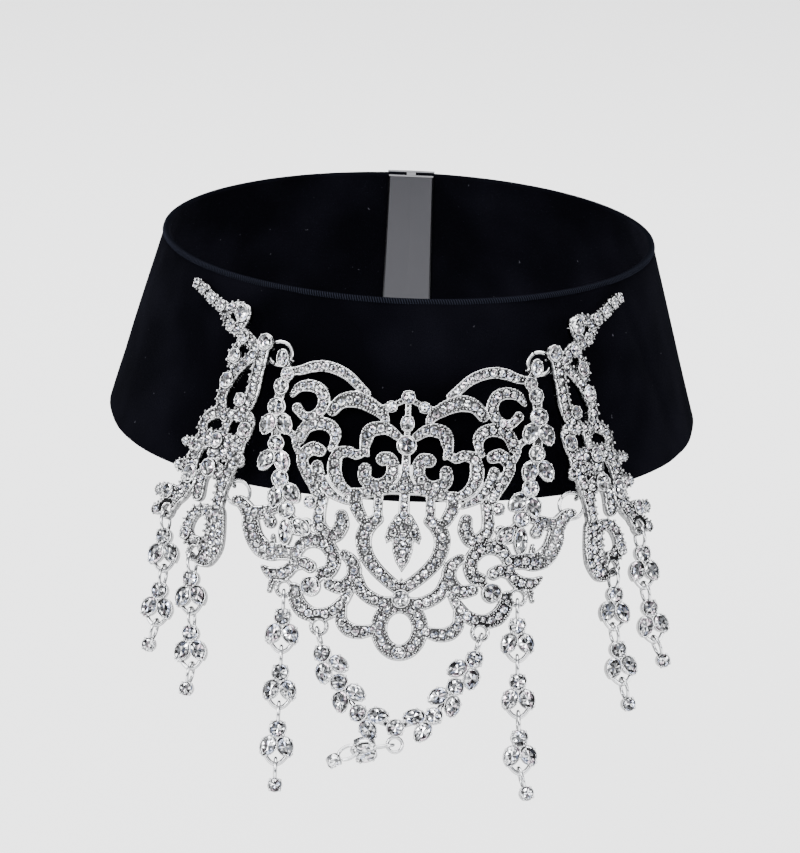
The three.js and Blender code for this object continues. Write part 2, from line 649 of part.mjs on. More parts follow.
function bar(start, end) {
  const along = end.clone().sub(start);
  const box = new THREE.BoxGeometry(along.length(), castThick, barWide);
  box.rotateY(-Math.atan2(along.y, along.x));
  return box.translate((start.x + end.x) / 2, 0, (start.y + end.y) / 2);
}

function bail(half, rise, low) {
  const inner = bailWire / 2;
  const shape = new THREE.Shape([
    new THREE.Vector2(-half, rise - low), new THREE.Vector2(-inner, -low - inner),
    new THREE.Vector2(inner, -low - inner), new THREE.Vector2(half, rise - low),
    new THREE.Vector2(half - bailWire, rise - low), new THREE.Vector2(0, inner - low),
    new THREE.Vector2(bailWire - half, rise - low),
  ]);
  return faceForward(new THREE.ExtrudeGeometry(shape, { depth: bailWire, bevelEnabled: false }), bailWire);
}

function dropLink(twist) {
  return joined([roundStone(0, 0, stoneWide), ...leafPair(0, 0, 0, castBack),
    bail(bailHalf, bailRise, bailDrop), wireLoop(twist)]);
}

function shortLink(twist) {
  return joined([...leafPair(0, 0, 0, castBack), bail(bailHalf, bailRise, shortBailDrop),
    wireLoop(twist, shortReach, -leafRoot)]);
}

function endLink(twist) {
  return joined([roundStone(0, 0, endStoneWide), wireLoop(twist)]);
}

function mesh(name, geometry, finish) {
  const piece = new THREE.Mesh(geometry, new THREE.MeshStandardMaterial(finish));
  piece.name = name;
  return piece;
}

function drop(name, frame, place, hang, makeLink, linkReach, linkDrop) {
  const group = new THREE.Group();
  let hook = place.clone();
  let lastTwist = 0;
  hang.forEach(({ lean, twist }, i) => {
    const last = i === hang.length - 1;
    const turn = radians(lean);
    const geometry = (last ? endLink : makeLink)(radians(lastTwist - twist));
    const link = mesh(last ? `${name}_end` : `${name}_${i + 1}`, geometry, crystal);
    const downward = new THREE.Vector3(-Math.sin(turn), 0, -Math.cos(turn));
    const centre = hook.clone().addScaledVector(downward, last ? loopReach : linkReach);
    link.position.copy(centre);
    link.rotation.set(0, turn, radians(twist), 'YZX');
    group.add(link);
    hook = centre.addScaledVector(downward, linkDrop);
    lastTwist = twist;
  });
  group.applyMatrix4(frame);
  return group;
}

function longDrop(name, frame, place) {
  return drop(name, frame, place, dropHang[name], dropLink, loopReach, bailDrop);
}

// The lowest wire of an eyelet, where a loop hangs
function hookPlace(row, side, half, tall, radius) {
  const low = -share(row.down, tall) - eyeletHole - eyeletWire / 2;
  return bentPoint(side * share(row.across, half), low, 0, radius);
}

function swag() {
  const pieces = [];
  const spine = [...swagStones, swagMiddle].slice(1).map((row) => {
    return new THREE.Vector2(share(row.across, swagHalf), -share(row.down, swagDeep));
  });
  for (const side of [-1, 1]) {
    const mirror = new THREE.Vector2(side, 1);
    for (let i = 1; i < spine.length; i += 1) {
      const start = spine[i - 1].clone().multiply(mirror);
      const end = spine[i].clone().multiply(mirror);
      pieces.push(bar(start, end));
    }
    for (const link of swagStones) {
      const x = side * share(link.across, swagHalf);
      const z = -share(link.down, swagDeep);
      pieces.push(roundStone(x, z, stoneWide));
      pieces.push(...leafPair(x, z, -side * radians(link.heading), castBack));
    }
    pieces.push(swagLoop(side));
  }
  pieces.push(roundStone(0, -share(swagMiddle.down, swagDeep), stoneWide));
  pieces.push(hangEye());
  return joined(pieces);
}

function swagLoop(side) {
  const start = swagStones[0];
  const x = side * share(start.across, swagHalf);
  const z = -share(start.down, swagDeep);
  const hook = side * share(swagEyelet.across, plateHalf);
  return wireLoop(0).rotateY(Math.atan2(hook - x, -z)).translate(x, 0, z);
}

const hangEyeReach = hangEyeHole + hangEyeWire / 2;
const hangEyeLevel = -share(swagMiddle.down, swagDeep) - stoneWide / 2 - hangEyeReach;

function hangEye() {
  return ring2d(0, hangEyeLevel, hangEyeReach, hangEyeReach, hangEyeWire, eyeletThick, eyeletSides);
}

// Assembly
const necklace = new THREE.Group();
necklace.add(mesh('velvet_band', velvetBand(), velvet));
necklace.add(mesh('band_clasp', bandClasp(), alloy));

const centre = mesh('center_plate', centrePlate(), alloy);
centre.applyMatrix4(centreFrame);
necklace.add(centre);

for (const [hand, side] of Object.entries(sides)) {
  const plate = mesh(`side_plate_${hand}`, sidePlate(hand), alloy);
  plate.applyMatrix4(frames[hand]);
  necklace.add(plate);
  for (const [level, ring] of Object.entries(rings[hand])) {
    const wire = new THREE.TorusGeometry(ring.radius, ringWire / 2, ringWireSides, ringSides);
    const piece = mesh(`${level}_ring_${hand}`, wire, alloy);
    piece.applyMatrix4(ring.frame);
    necklace.add(piece);
  }
  const frontHook = hookPlace(dropEyelet, side, plateHalf, plateTall, plateBend);
  necklace.add(longDrop(`front_drop_${hand}`, centreFrame, frontHook));
  const innerHook = hookPlace(innerEyelet, side, sideWide, sideTall, sideBend);
  necklace.add(longDrop(`inner_drop_${hand}`, frames[hand], innerHook));
  const outerHook = hookPlace(outerEyelet, side, sideWide, sideTall, sideBend);
  necklace.add(longDrop(`outer_drop_${hand}`, frames[hand], outerHook));
}

const swagHang = hookPlace(swagEyelet, 0, plateHalf, plateTall, plateBend);
const garland = mesh('swag', bend(swag(), plateBend), crystal);
garland.position.set(0, 0, swagHang.z);
const garlandGroup = new THREE.Group();
garlandGroup.add(garland);
garlandGroup.applyMatrix4(centreFrame);
necklace.add(garlandGroup);

const pendantTurn = radians(pendantHang[0].lean);
const pendantHook = new THREE.Vector3(-Math.sin(pendantTurn), 0, -Math.cos(pendantTurn));
pendantHook.multiplyScalar(hangEyeReach).add(new THREE.Vector3(0, 0, swagHang.z + hangEyeLevel));
necklace.add(drop('swag_pendant', centreFrame, pendantHook, pendantHang,
  shortLink, shortReach, shortBailDrop));

export default necklace;
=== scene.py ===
"""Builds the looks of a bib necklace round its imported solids, in millimetres but for the stage."""

import math

import bpy
import numpy as np
from bpy.props import FloatProperty, FloatVectorProperty, PointerProperty
from mathutils import Matrix, Vector


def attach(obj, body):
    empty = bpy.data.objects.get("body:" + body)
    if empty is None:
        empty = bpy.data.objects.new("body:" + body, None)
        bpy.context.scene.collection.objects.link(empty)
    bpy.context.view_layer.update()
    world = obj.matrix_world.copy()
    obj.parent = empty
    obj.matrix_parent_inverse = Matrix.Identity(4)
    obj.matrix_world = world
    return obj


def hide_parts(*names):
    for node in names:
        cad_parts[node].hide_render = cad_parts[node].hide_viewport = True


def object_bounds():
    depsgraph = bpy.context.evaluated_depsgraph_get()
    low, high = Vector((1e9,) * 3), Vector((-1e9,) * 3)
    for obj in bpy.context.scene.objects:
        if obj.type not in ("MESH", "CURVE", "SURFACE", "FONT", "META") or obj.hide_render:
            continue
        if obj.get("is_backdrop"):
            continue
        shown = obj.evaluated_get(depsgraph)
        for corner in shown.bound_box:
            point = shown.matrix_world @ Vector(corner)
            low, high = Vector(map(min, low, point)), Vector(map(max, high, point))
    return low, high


bl_info = {
    "name": "Bib necklace",
    "version": (1, 0, 0),
    "blender": (4, 5, 0),
    "location": "3D View > Sidebar > Necklace",
    "description": "Builds a velvet neck band with a pierced bib, set stones and hanging drops",
    "category": "Object",
}

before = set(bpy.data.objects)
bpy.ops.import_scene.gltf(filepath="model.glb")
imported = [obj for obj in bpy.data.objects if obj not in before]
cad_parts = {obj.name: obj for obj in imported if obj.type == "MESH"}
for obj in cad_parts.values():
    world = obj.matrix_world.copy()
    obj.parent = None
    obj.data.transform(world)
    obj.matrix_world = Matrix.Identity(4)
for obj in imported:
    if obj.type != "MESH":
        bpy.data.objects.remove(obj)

# Sizes shared with the solids, in millimetres and degrees
NECK_RADIUS = 60.0
BAND_HEIGHT = 47.0
BAND_WALL = 1.6
BAND_TOP = 22.0
FRONT_LEAN, SIDE_LEAN, BACK_LEAN = 27.0, 16.0, 8.0
CLASP_GAP, CLASP_REACH, CLASP_WALL = 3.0, 6.0, 1.0
PIECE_GAP = 0.3
CAST_THICK = 1.6
SCROLL_WIDE = 3.4
STONE_WIDE, END_STONE_WIDE = 4.2, 3.4
STONE_RISE = 0.9
LEAF_LONG, LEAF_WIDE, LEAF_REACH, LEAF_SPREAD = 5.4, 3.9, 4.5, 26.0
JEWEL_SHIFT = 1.4
PLATE_HALF, PLATE_TALL, PLATE_BEND = 25.0, 50.0, 107.0
PLATE_LEVEL, PLATE_STANDOFF, PLATE_EASE = 9.0, 3.4, 2.0
SIDE_WIDE, SIDE_TALL, SIDE_BEND = 20.0, 50.0, 78.0
SIDE_SPAN, SIDE_EASE, STRAND_GAP, STUD_WIDE = 4.6, 1.2, 1.3, 1.8
RING_WIRE, EYE_WIRE, EYE_DEPTH = 0.9, 0.75, 1.1
LUG_SIDES = 6
EYELET_HOLE, EYELET_WIRE = 1.3, 0.95
LOOP_WIRE, LOOP_REACH, LOOP_DEEP, HOOK_GAP = 0.8, 4.7, 1.7, 0.5
BAIL_DROP, BAIL_WIRE, BAIL_HALF, BAIL_RISE = 8.0, 1.0, 3.2, 2.6
SHORT_BAIL_DROP, SHORT_REACH, LEAF_ROOT = 7.0, 1.0, 3.6
SWAG_HALF, SWAG_DEEP = 20.0, 20.0
HANG_EYE_HOLE, HANG_EYE_WIRE = 1.3, 0.8

# Metres in a millimetre, and millimetres in a metre
METRES, PER_METRE = 0.001, 1000

# Small numbers that keep divisions by lengths, areas, squares and slopes safe
TINY_LENGTH, TINY_AREA, TINY_SQUARE, TINY_SLOPE = 1e-9, 1e-15, 1e-12, 1e-6

# Sides of round things and steps along bent ones
WIRE_SIDES, RING_SIDES, STUD_SIDES, CLAW_SIDES, BEAD_SIDES, BEAD_RINGS = 8, 12, 12, 7, 6, 4
GEM_SIDES, CUP_SIDES, LARGE_FINE_SIDES, SMALL_FINE_SIDES = 16, 24, 8, 6
LOOP_STEPS, BAIL_STEPS, EYE_STEPS, HANG_EYE_STEPS, JUMP_RING_STEPS, STUD_STEPS = 28, 15, 24, 30, 56, 4
BAND_STEPS, BAND_ROWS, FOLD_STEPS, CLASP_ROWS = 361, 26, 7, 24

# Tables in hundredths: across, down and wide are shares of the half width, the height and SCROLL_WIDE
CENTRE_SCROLLS = [
    dict(name="outer_arch", across=[112, 100, 90, 78, 66, 55, 45, 37],
         down=[4, 3.5, 2, 1.5, 3, 6, 10.5, 13.5], wide=[48, 71, 81, 81, 81, 76, 71, 48]),
    dict(name="c_scroll", across=[107, 101, 91, 81, 77, 81, 90, 97, 102],
         down=[15, 11.5, 10.5, 12.5, 17.5, 22.5, 25, 24, 21], wide=[41, 74, 87, 90, 90, 83, 69, 69, 78]),
    dict(name="second_arch", across=[69, 62, 52, 41, 31, 23, 19],
         down=[22, 18, 16.5, 17.5, 20, 23, 26.5], wide=[82, 102, 117, 112, 102, 82, 51]),
    dict(name="third_arch", across=[99, 93, 83, 73, 66, 65.5, 69],
         down=[35, 30, 28, 28.5, 31.5, 35.5, 39.5], wide=[95, 95, 95, 95, 90, 71, 48]),
    dict(name="comma", across=[79, 86, 93, 95, 90, 83, 80],
         down=[40.5, 39.5, 42, 45.5, 51, 56.5, 60], wide=[90, 100, 95, 86, 86, 86, 76]),
    dict(name="inner_comma", across=[81, 79, 73, 65, 53],
         down=[47.5, 51.5, 56.5, 60.5, 63.5], wide=[86, 90, 81, 66, 43]),
    dict(name="crescent", across=[53, 62, 65, 64, 58, 48],
         down=[40.5, 42, 46.5, 51.5, 56.5, 60], wide=[66, 86, 104, 103, 86, 57]),
    dict(name="crescent_branch", across=[62, 53, 45, 37],
         down=[41, 40.5, 42, 40], wide=[80, 80, 70, 60]),
    dict(name="central_c", across=[8, 17, 26, 34, 37, 38, 35],
         down=[33, 30, 29.5, 31, 35, 39.5, 42], wide=[65, 85, 100, 105, 95, 60, 35]),
    dict(name="curl", across=[37, 36.5, 28, 20, 13, 11.5, 14.5, 21],
         down=[48.5, 53, 55.5, 55, 51.5, 47, 43.5, 43.5], wide=[95, 95, 95, 95, 95, 95, 95, 100]),
    dict(name="fan_bar", across=[45, 30, 15, 0], down=[60, 58.5, 57, 57], wide=[80, 80, 80, 80]),
    dict(name="fan_outer", across=[45, 44, 38], down=[60, 65, 71], wide=[95, 95, 80]),
    dict(name="fan_inner", across=[23, 24, 24], down=[58, 65, 71], wide=[65, 65, 75]),
    dict(name="pointed_oval", across=[23, 31, 35.5, 35, 31, 23, 13, 2],
         down=[71, 74, 78.5, 84, 89, 94, 98.5, 102.5], wide=[77, 108, 115, 108, 103, 98, 93, 88]),
    dict(name="lower_arm", across=[40, 35, 23, 12, 0],
         down=[98, 104, 108, 109, 108], wide=[80, 95, 95, 90, 90]),
    dict(name="side_crescent", across=[53, 46, 43, 46, 54, 65],
         down=[87.5, 90.5, 95, 99.5, 102.5, 101.5], wide=[68, 89, 105, 105, 100, 84]),
    dict(name="ring_scroll", across=[100, 97, 91, 81, 71, 64, 62.5, 66, 72],
         down=[93, 87.5, 83, 81.5, 83, 87, 91.5, 95.5, 96.5],
         wide=[77, 77, 99, 105, 105, 105, 105, 99, 94]),
    dict(name="horn", across=[129, 120, 108, 99.5, 91, 84],
         down=[94, 97, 96.8, 93.5, 92, 93.5], wide=[27, 86, 103, 81, 92, 92]),
    dict(name="horn_barb", across=[118, 121.5], down=[98, 105], wide=[55, 30]),
    dict(name="u_crescent", across=[98, 95, 88, 76, 63, 53, 46],
         down=[104, 109, 113.5, 115.5, 114, 109.5, 104], wide=[94, 110, 116, 99, 88, 82, 61]),
    dict(name="low_crescent", across=[52, 53, 46, 35, 22],
         down=[111, 117.5, 121.5, 122.5, 121], wide=[54, 86, 103, 97, 70]),
    dict(name="j_hook", across=[75, 77, 77, 71, 62, 56.5, 57],
         down=[62, 68, 74, 78, 79, 74.5, 70], wide=[80, 85, 95, 100, 100, 108, 90]),
    dict(name="outer_scroll", across=[158, 152, 144, 142, 138, 131, 122, 113, 105, 98],
         down=[63.5, 64.5, 69.5, 75, 80.5, 85, 87, 87, 87.5, 87],
         wide=[61, 88, 115, 128, 128, 135, 128, 115, 101, 81]),
    dict(name="trefoil", across=[142, 132, 122, 114], down=[69, 69, 67.5, 66], wide=[88, 94, 77, 77]),
    dict(name="trefoil_lobe", across=[128, 123], down=[69, 73.5], wide=[77, 88]),
    dict(name="thorn", across=[120, 120], down=[86, 79.5], wide=[70, 25]),
    dict(name="column", across=[117, 112, 117, 121, 121, 120, 116, 113, 108, 107],
         down=[-2, 5, 11, 20, 30, 37, 46, 53, 61, 72], wide=[58, 63, 72, 72, 72, 72, 72, 72, 72, 63]),
    dict(name="column_link", across=[111, 104, 102, 98], down=[31, 34, 38, 42], wide=[55, 50, 50, 55]),
    dict(name="crown_link", across=[24, 15, 3], down=[20, 19, 16], wide=[45, 45, 45]),
    dict(name="boss_link", across=[98, 83, 72], down=[104, 102.5, 96.5], wide=[60, 60, 60]),
    dict(name="tilted_link", across=[108, 93, 80], down=[69, 75.5, 81], wide=[50, 50, 50]),
]

AXIS_SCROLLS = [
    dict(name="crown_bar", across=[0, 0], down=[15, 40], wide=[45, 45]),
    dict(name="axis_bar", across=[0, 0], down=[40, 70], wide=[60, 80]),
]

CENTRE_LEAVES = [
    dict(name="acorn", across=[0, 8, 14, 17, 15, 10, 9.5, 6.5, 0],
         down=[66, 69, 74, 79, 82, 80.5, 85, 90, 95]),
    dict(name="wedge", across=[0, 4, 6, 14, 0], down=[46, 48, 52, 58, 60]),
    dict(name="spike", across=[0, 2.5, 2.5, 0], down=[97, 99, 104, 105]),
]

# A stone's size is a share of STONE_WIDE and its tall a share of its size; turns are in degrees
CENTRE_STONES = [
    dict(name="corner", across=117.5, down=-2, size=70, tall=145, turn=0),
    dict(name="shoulder", across=112, down=5.5, size=76, tall=100, turn=0),
    dict(name="upper", across=117.5, down=11, size=85, tall=112, turn=0),
    dict(name="column_1", across=121, down=20.5, size=105, tall=100, turn=0),
    dict(name="column_2", across=120, down=37.5, size=95, tall=100, turn=0),
    dict(name="column_3", across=115, down=53.5, size=98, tall=100, turn=0),
    dict(name="column_4", across=108, down=68, size=92, tall=100, turn=0),
    dict(name="marquise", across=108, down=78, size=78, tall=195, turn=0),
    dict(name="tilted", across=93, down=75.5, size=78, tall=160, turn=48),
    dict(name="boss", across=82.5, down=102.5, size=112, tall=100, turn=0),
]

AXIS_STONES = [
    dict(name="crown_top", across=0, down=15, size=80, tall=100, turn=0),
    dict(name="heart", across=0, down=27, size=78, tall=125, turn=0),
    dict(name="middle", across=0, down=37, size=112, tall=100, turn=0),
    dict(name="joint", across=0, down=107, size=100, tall=100, turn=0),
    dict(name="foot", across=0, down=131.5, size=75, tall=100, turn=0),
]

CENTRE_PAIRS = [
    dict(name="pair_1", across=121, down=20.5, heading=0),
    dict(name="pair_2", across=120, down=37.5, heading=-5),
    dict(name="pair_3", across=115, down=53.5, heading=14),
]

SIDE_SCROLLS = [
    dict(name="strand", across=[16, 40, 60, 76, 90, 110, 130, 154],
         down=[-2, -7, -9, -12, -17.5, -20, -23, -26], wide=[86, 86, 76, 76, 76, 74, 70, 63]),
    dict(name="strand_loop", across=[52, 50, 62, 76, 86],
         down=[-10, -16, -19, -18, -17], wide=[66, 86, 95, 76, 57]),
    dict(name="wall", across=[10, 9, 7.5, 6, 8, 14],
         down=[-7, 2, 10, 17, 23, 27], wide=[104, 109, 104, 104, 100, 86]),
    dict(name="wall_curl", across=[14, 19], down=[27, 22], wide=[76, 95]),
    dict(name="branch", across=[18, 28, 37, 46, 49, 44, 36],
         down=[-1, 4, 9, 15, 22, 27.5, 31], wide=[86, 76, 71, 100, 90, 90, 86]),
    dict(name="small_loop", across=[36, 46, 53, 46, 33],
         down=[-6, -3, 3, 8, 6], wide=[48, 52, 57, 52, 48]),
    dict(name="waist_in", across=[9, 0, -1, 3, 12],
         down=[27, 30, 35, 40, 43], wide=[76, 95, 100, 100, 95]),
    dict(name="waist_mid", across=[3, 16, 30, 44, 58],
         down=[30, 29.5, 30, 30, 33], wide=[76, 76, 81, 81, 76]),
    dict(name="waist_bar", across=[28, 29, 30], down=[30, 37, 44], wide=[71, 66, 76]),
    dict(name="waist_out", across=[44, 58, 65, 60, 50],
         down=[29, 32, 37, 41, 44], wide=[71, 86, 86, 86, 86]),
    dict(name="body", across=[6, 22, 40, 58], down=[43.5, 43, 43, 43], wide=[142, 142, 142, 133]),
    dict(name="body_low", across=[-3, 10, 26, 38], down=[49, 48, 47.5, 49], wide=[95, 114, 104, 86]),
    dict(name="leg_arch", across=[10, 22, 36, 44, 42],
         down=[62, 56, 55, 61, 69], wide=[90, 95, 109, 104, 104]),
    dict(name="leg_in", across=[4, 8, 10, 9, 7], down=[50, 57, 64, 71, 77], wide=[95, 100, 95, 90, 100]),
    dict(name="lobe", across=[7, 2, 0, 3, 10],
         down=[76, 84, 90, 95, 97], wide=[142, 162, 171, 152, 104]),
    dict(name="lobe_ring", across=[12, 24, 37, 43, 42, 34, 24],
         down=[77, 75, 77, 82, 87, 90, 90], wide=[81, 76, 81, 86, 86, 86, 76]),
    dict(name="leg_out", across=[58, 64, 65, 62, 68, 75, 77],
         down=[43, 50, 57, 64, 70, 74, 77], wide=[114, 119, 119, 124, 124, 104, 86]),
    dict(name="prong_1", across=[64, 76, 88], down=[45.5, 46.5, 47], wide=[71, 71, 57]),
    dict(name="prong_2", across=[66, 78, 88], down=[57, 58, 58.5], wide=[104, 100, 71]),
    dict(name="prong_3", across=[74, 92, 110], down=[72, 71.5, 72], wide=[104, 100, 76]),
    dict(name="prong_4", across=[84, 95, 106], down=[75, 79.5, 81.5], wide=[100, 90, 71]),
]

SIDE_STONES = [
    dict(name="corner", across=8, down=-6.5, size=98, tall=100, turn=0),
    dict(name="strand_3", across=92, down=-18, size=72, tall=100, turn=0),
    dict(name="loop_lobe", across=54, down=-17, size=98, tall=110, turn=40),
    dict(name="small_round", across=46, down=3, size=84, tall=100, turn=0),
    dict(name="branch_1", across=47, down=15, size=95, tall=100, turn=0),
    dict(name="waist_1", across=0, down=35, size=92, tall=100, turn=0),
    dict(name="leg_1", across=36, down=56, size=100, tall=110, turn=60),
    dict(name="out_1", across=62, down=61, size=100, tall=110, turn=0),
    dict(name="out_2", across=90, down=71.5, size=90, tall=100, turn=0),
]

SWAG_STONES = [
    dict(name="first", across=86, down=22, heading=33),
    dict(name="second", across=65.5, down=54, heading=33),
    dict(name="third", across=42.5, down=88, heading=59),
]

# How each link hangs from the one above, as its lean and its twist in degrees
DROP_HANG = {
    "front_drop_left": [(0, 0), (0, 0), (1, 4), (0, 8)],
    "front_drop_right": [(-2, 0), (-3, 4), (-4, 8), (-18, 12)],
    "inner_drop_left": [(-20, 10), (-20, 16), (-6, 22)],
    "outer_drop_left": [(-18, 10), (-10, 16), (0, 22)],
    "inner_drop_right": [(17, -10), (4, -16), (0, -22)],
    "outer_drop_right": [(10, -10), (2, -16), (-10, -22)],
}

PENDANT_HANG = [(80, 55), (62, 60)]

BOTTOM_RING = dict(down=120.5, half=18.5, tall=10.8, wide=112)
DROP_EYELET = dict(across=107.5, down=103.7)
SWAG_EYELET = dict(across=73.5, down=120.5)
UPPER_EYE = dict(across=113, down=-2)
LOWER_EYE = dict(across=153, down=64.5)
INNER_EYELET = dict(across=23, down=95)
OUTER_EYELET = dict(across=84, down=80)
SIDE_UPPER_EYE = dict(across=8, down=-5)
SIDE_LOWER_EYE = dict(across=6, down=59.5)
STRAND_END = dict(across=154, down=-26)
SWAG_MIDDLE = dict(down=103)

# Small stones that only the castings' looks carry, same columns as the stones above
FINE_CENTRE_STONES = [
    dict(name="crown_side", across=15, down=19.5, size=66, tall=100, turn=0),
    dict(name="single", across=86, down=64, size=72, tall=100, turn=0),
]
FINE_SIDE_STONES = [
    dict(name="strand_1", across=40, down=-6.5, size=74, tall=100, turn=0),
    dict(name="strand_2", across=66, down=-10, size=66, tall=100, turn=0),
    dict(name="strand_4", across=112, down=-20.5, size=66, tall=100, turn=0),
    dict(name="strand_5", across=136, down=-24, size=64, tall=100, turn=0),
    dict(name="strand_end", across=154, down=-26, size=60, tall=100, turn=0),
    dict(name="curl_end", across=19, down=22, size=78, tall=100, turn=0),
    dict(name="body_2", across=36, down=43, size=88, tall=100, turn=0),
    dict(name="lobe_1", across=42, down=88, size=76, tall=100, turn=0),
]


def share(hundredths, size):
    return hundredths * size / 100.0


# Frames that carry the plates
def rotation(axis, angle):
    c, s = math.cos(angle), math.sin(angle)
    turned = {
        "X": [[1, 0, 0], [0, c, -s], [0, s, c]],
        "Y": [[c, 0, s], [0, 1, 0], [-s, 0, c]],
        "Z": [[c, -s, 0], [s, c, 0], [0, 0, 1]],
    }[axis]
    made = np.eye(4)
    made[:3, :3] = turned
    return made


def shifted(place):
    made = np.eye(4)
    made[:3, 3] = place
    return made


def placed(matrix, points):
    return np.asarray(points) @ matrix[:3, :3].T + matrix[:3, 3]


def lean_at(around):
    front = np.maximum(0, np.cos(around)) ** 2
    back = np.maximum(0, -np.cos(around)) ** 2
    return np.radians(SIDE_LEAN + (FRONT_LEAN - SIDE_LEAN) * front - (SIDE_LEAN - BACK_LEAN) * back)


def band_point(around, down, out):
    lean = lean_at(around)
    reach = NECK_RADIUS + np.sin(lean) * down + np.cos(lean) * out
    level = BAND_TOP - np.cos(lean) * down + np.sin(lean) * out
    return np.stack([np.sin(around) * reach, -np.cos(around) * reach, level], -1)


def band_radius_at(around, level):
    lean = float(lean_at(around))
    return NECK_RADIUS + math.sin(lean) * (BAND_TOP - level) / math.cos(lean)


def bent(points, radius):
    """Points as across, outward and up, laid on a plate that bends round the neck."""
    points = np.asarray(points, float)
    across, out, up = points[..., 0], points[..., 1], points[..., 2]
    angle = across / radius
    return np.stack([(radius + out) * np.sin(angle), radius - (radius + out) * np.cos(angle), up], -1)


def plate_frame(origin, azimuth, lean):
    return shifted(origin) @ rotation("Z", azimuth) @ rotation("X", -lean)


PLATE_ORIGIN = (JEWEL_SHIFT, -band_radius_at(0, PLATE_LEVEL) - PLATE_STANDOFF, PLATE_LEVEL)
CENTRE_FRAME = plate_frame(PLATE_ORIGIN, 0.0, math.radians(FRONT_LEAN - PLATE_EASE))


def flat_place(row, side, out, half, tall):
    return [side * share(row["across"], half), out, -share(row["down"], tall)]


def centre_place(row, side, out):
    return placed(CENTRE_FRAME, bent(flat_place(row, side, out, PLATE_HALF, PLATE_TALL), PLATE_BEND))


def side_place(row, side, out, place):
    return placed(place, bent(flat_place(row, side, out, SIDE_WIDE, SIDE_TALL), SIDE_BEND))


# A side plate turns round the neck until its strand meets the band, found by halving
TURN_LIMIT, TURN_HALVINGS = 90.0, 24


def side_frame(side):
    origin = centre_place(UPPER_EYE, side, 0) + np.array([side * SIDE_SPAN, 0, 0])
    low, high = 0.0, TURN_LIMIT
    for _ in range(TURN_HALVINGS):
        turn = math.radians((low + high) / 2)
        lean = float(lean_at(turn)) + math.radians(SIDE_EASE)
        end = side_place(STRAND_END, side, 0, plate_frame(origin, side * turn, lean))
        spare = math.hypot(end[0], end[1]) - band_radius_at(math.atan2(end[0], -end[1]), end[2])
        if spare > STRAND_GAP:
            low = math.degrees(turn)
        else:
            high = math.degrees(turn)
    turn = math.radians(low)
    return plate_frame(origin, side * turn, float(lean_at(turn)) + math.radians(SIDE_EASE))


SIDES = {"left": -1, "right": 1}
SIDE_FRAMES = {hand: side_frame(side) for hand, side in SIDES.items()}


def ring_frame(start, end, facing):
    across = end - start
    radius = np.linalg.norm(across) / 2
    across = across / np.linalg.norm(across)
    normal = facing - across * (facing @ across)
    normal = normal / np.linalg.norm(normal)
    made = np.eye(4)
    made[:3, 0], made[:3, 1], made[:3, 2] = across, np.cross(normal, across), normal
    made[:3, 3] = (start + end) / 2
    return made, radius


def ring_between(centre_row, side_row, hand):
    side = SIDES[hand]
    back = -CAST_THICK / 2 - EYE_DEPTH
    facing = -CENTRE_FRAME[:3, 1] - SIDE_FRAMES[hand][:3, 1]
    facing = facing / np.linalg.norm(facing)
    start = centre_place(centre_row, side, back)
    end = side_place(side_row, side, back, SIDE_FRAMES[hand])
    return ring_frame(start, end, facing)


RINGS = {
    hand: {
        "upper": ring_between(UPPER_EYE, SIDE_UPPER_EYE, hand),
        "lower": ring_between(LOWER_EYE, SIDE_LOWER_EYE, hand),
    }
    for hand in SIDES
}


# How dark the painted shade on metal flanks is, how squarely a face looks out where it starts to brighten,
# and over what span
FLANK_SHADE, FLANK_EDGE, FLANK_BLEND = 0.12, 0.25, 0.6


def painted_flank_shade(points, faces):
    """Painted shade on metal at each point: full brightness where it faces away from the neck, painted
    darker on its flanks.
    """
    corners = points[faces]
    normals = np.cross(corners[:, 1] - corners[:, 0], corners[:, 2] - corners[:, 0])
    summed = np.zeros_like(points)
    for k in range(3):
        np.add.at(summed, faces[:, k], normals)
    summed /= np.linalg.norm(summed, axis=1)[:, None] + TINY_AREA
    away = points * (1, 1, 0)
    away /= np.linalg.norm(away, axis=1)[:, None] + TINY_LENGTH
    lean = math.radians(FRONT_LEAN)
    away = away * math.cos(lean) + (0, 0, math.sin(lean))
    facing = np.abs((summed * away).sum(1))
    return FLANK_SHADE + (1 - FLANK_SHADE) * np.clip((facing - FLANK_EDGE) / FLANK_BLEND, 0, 1)


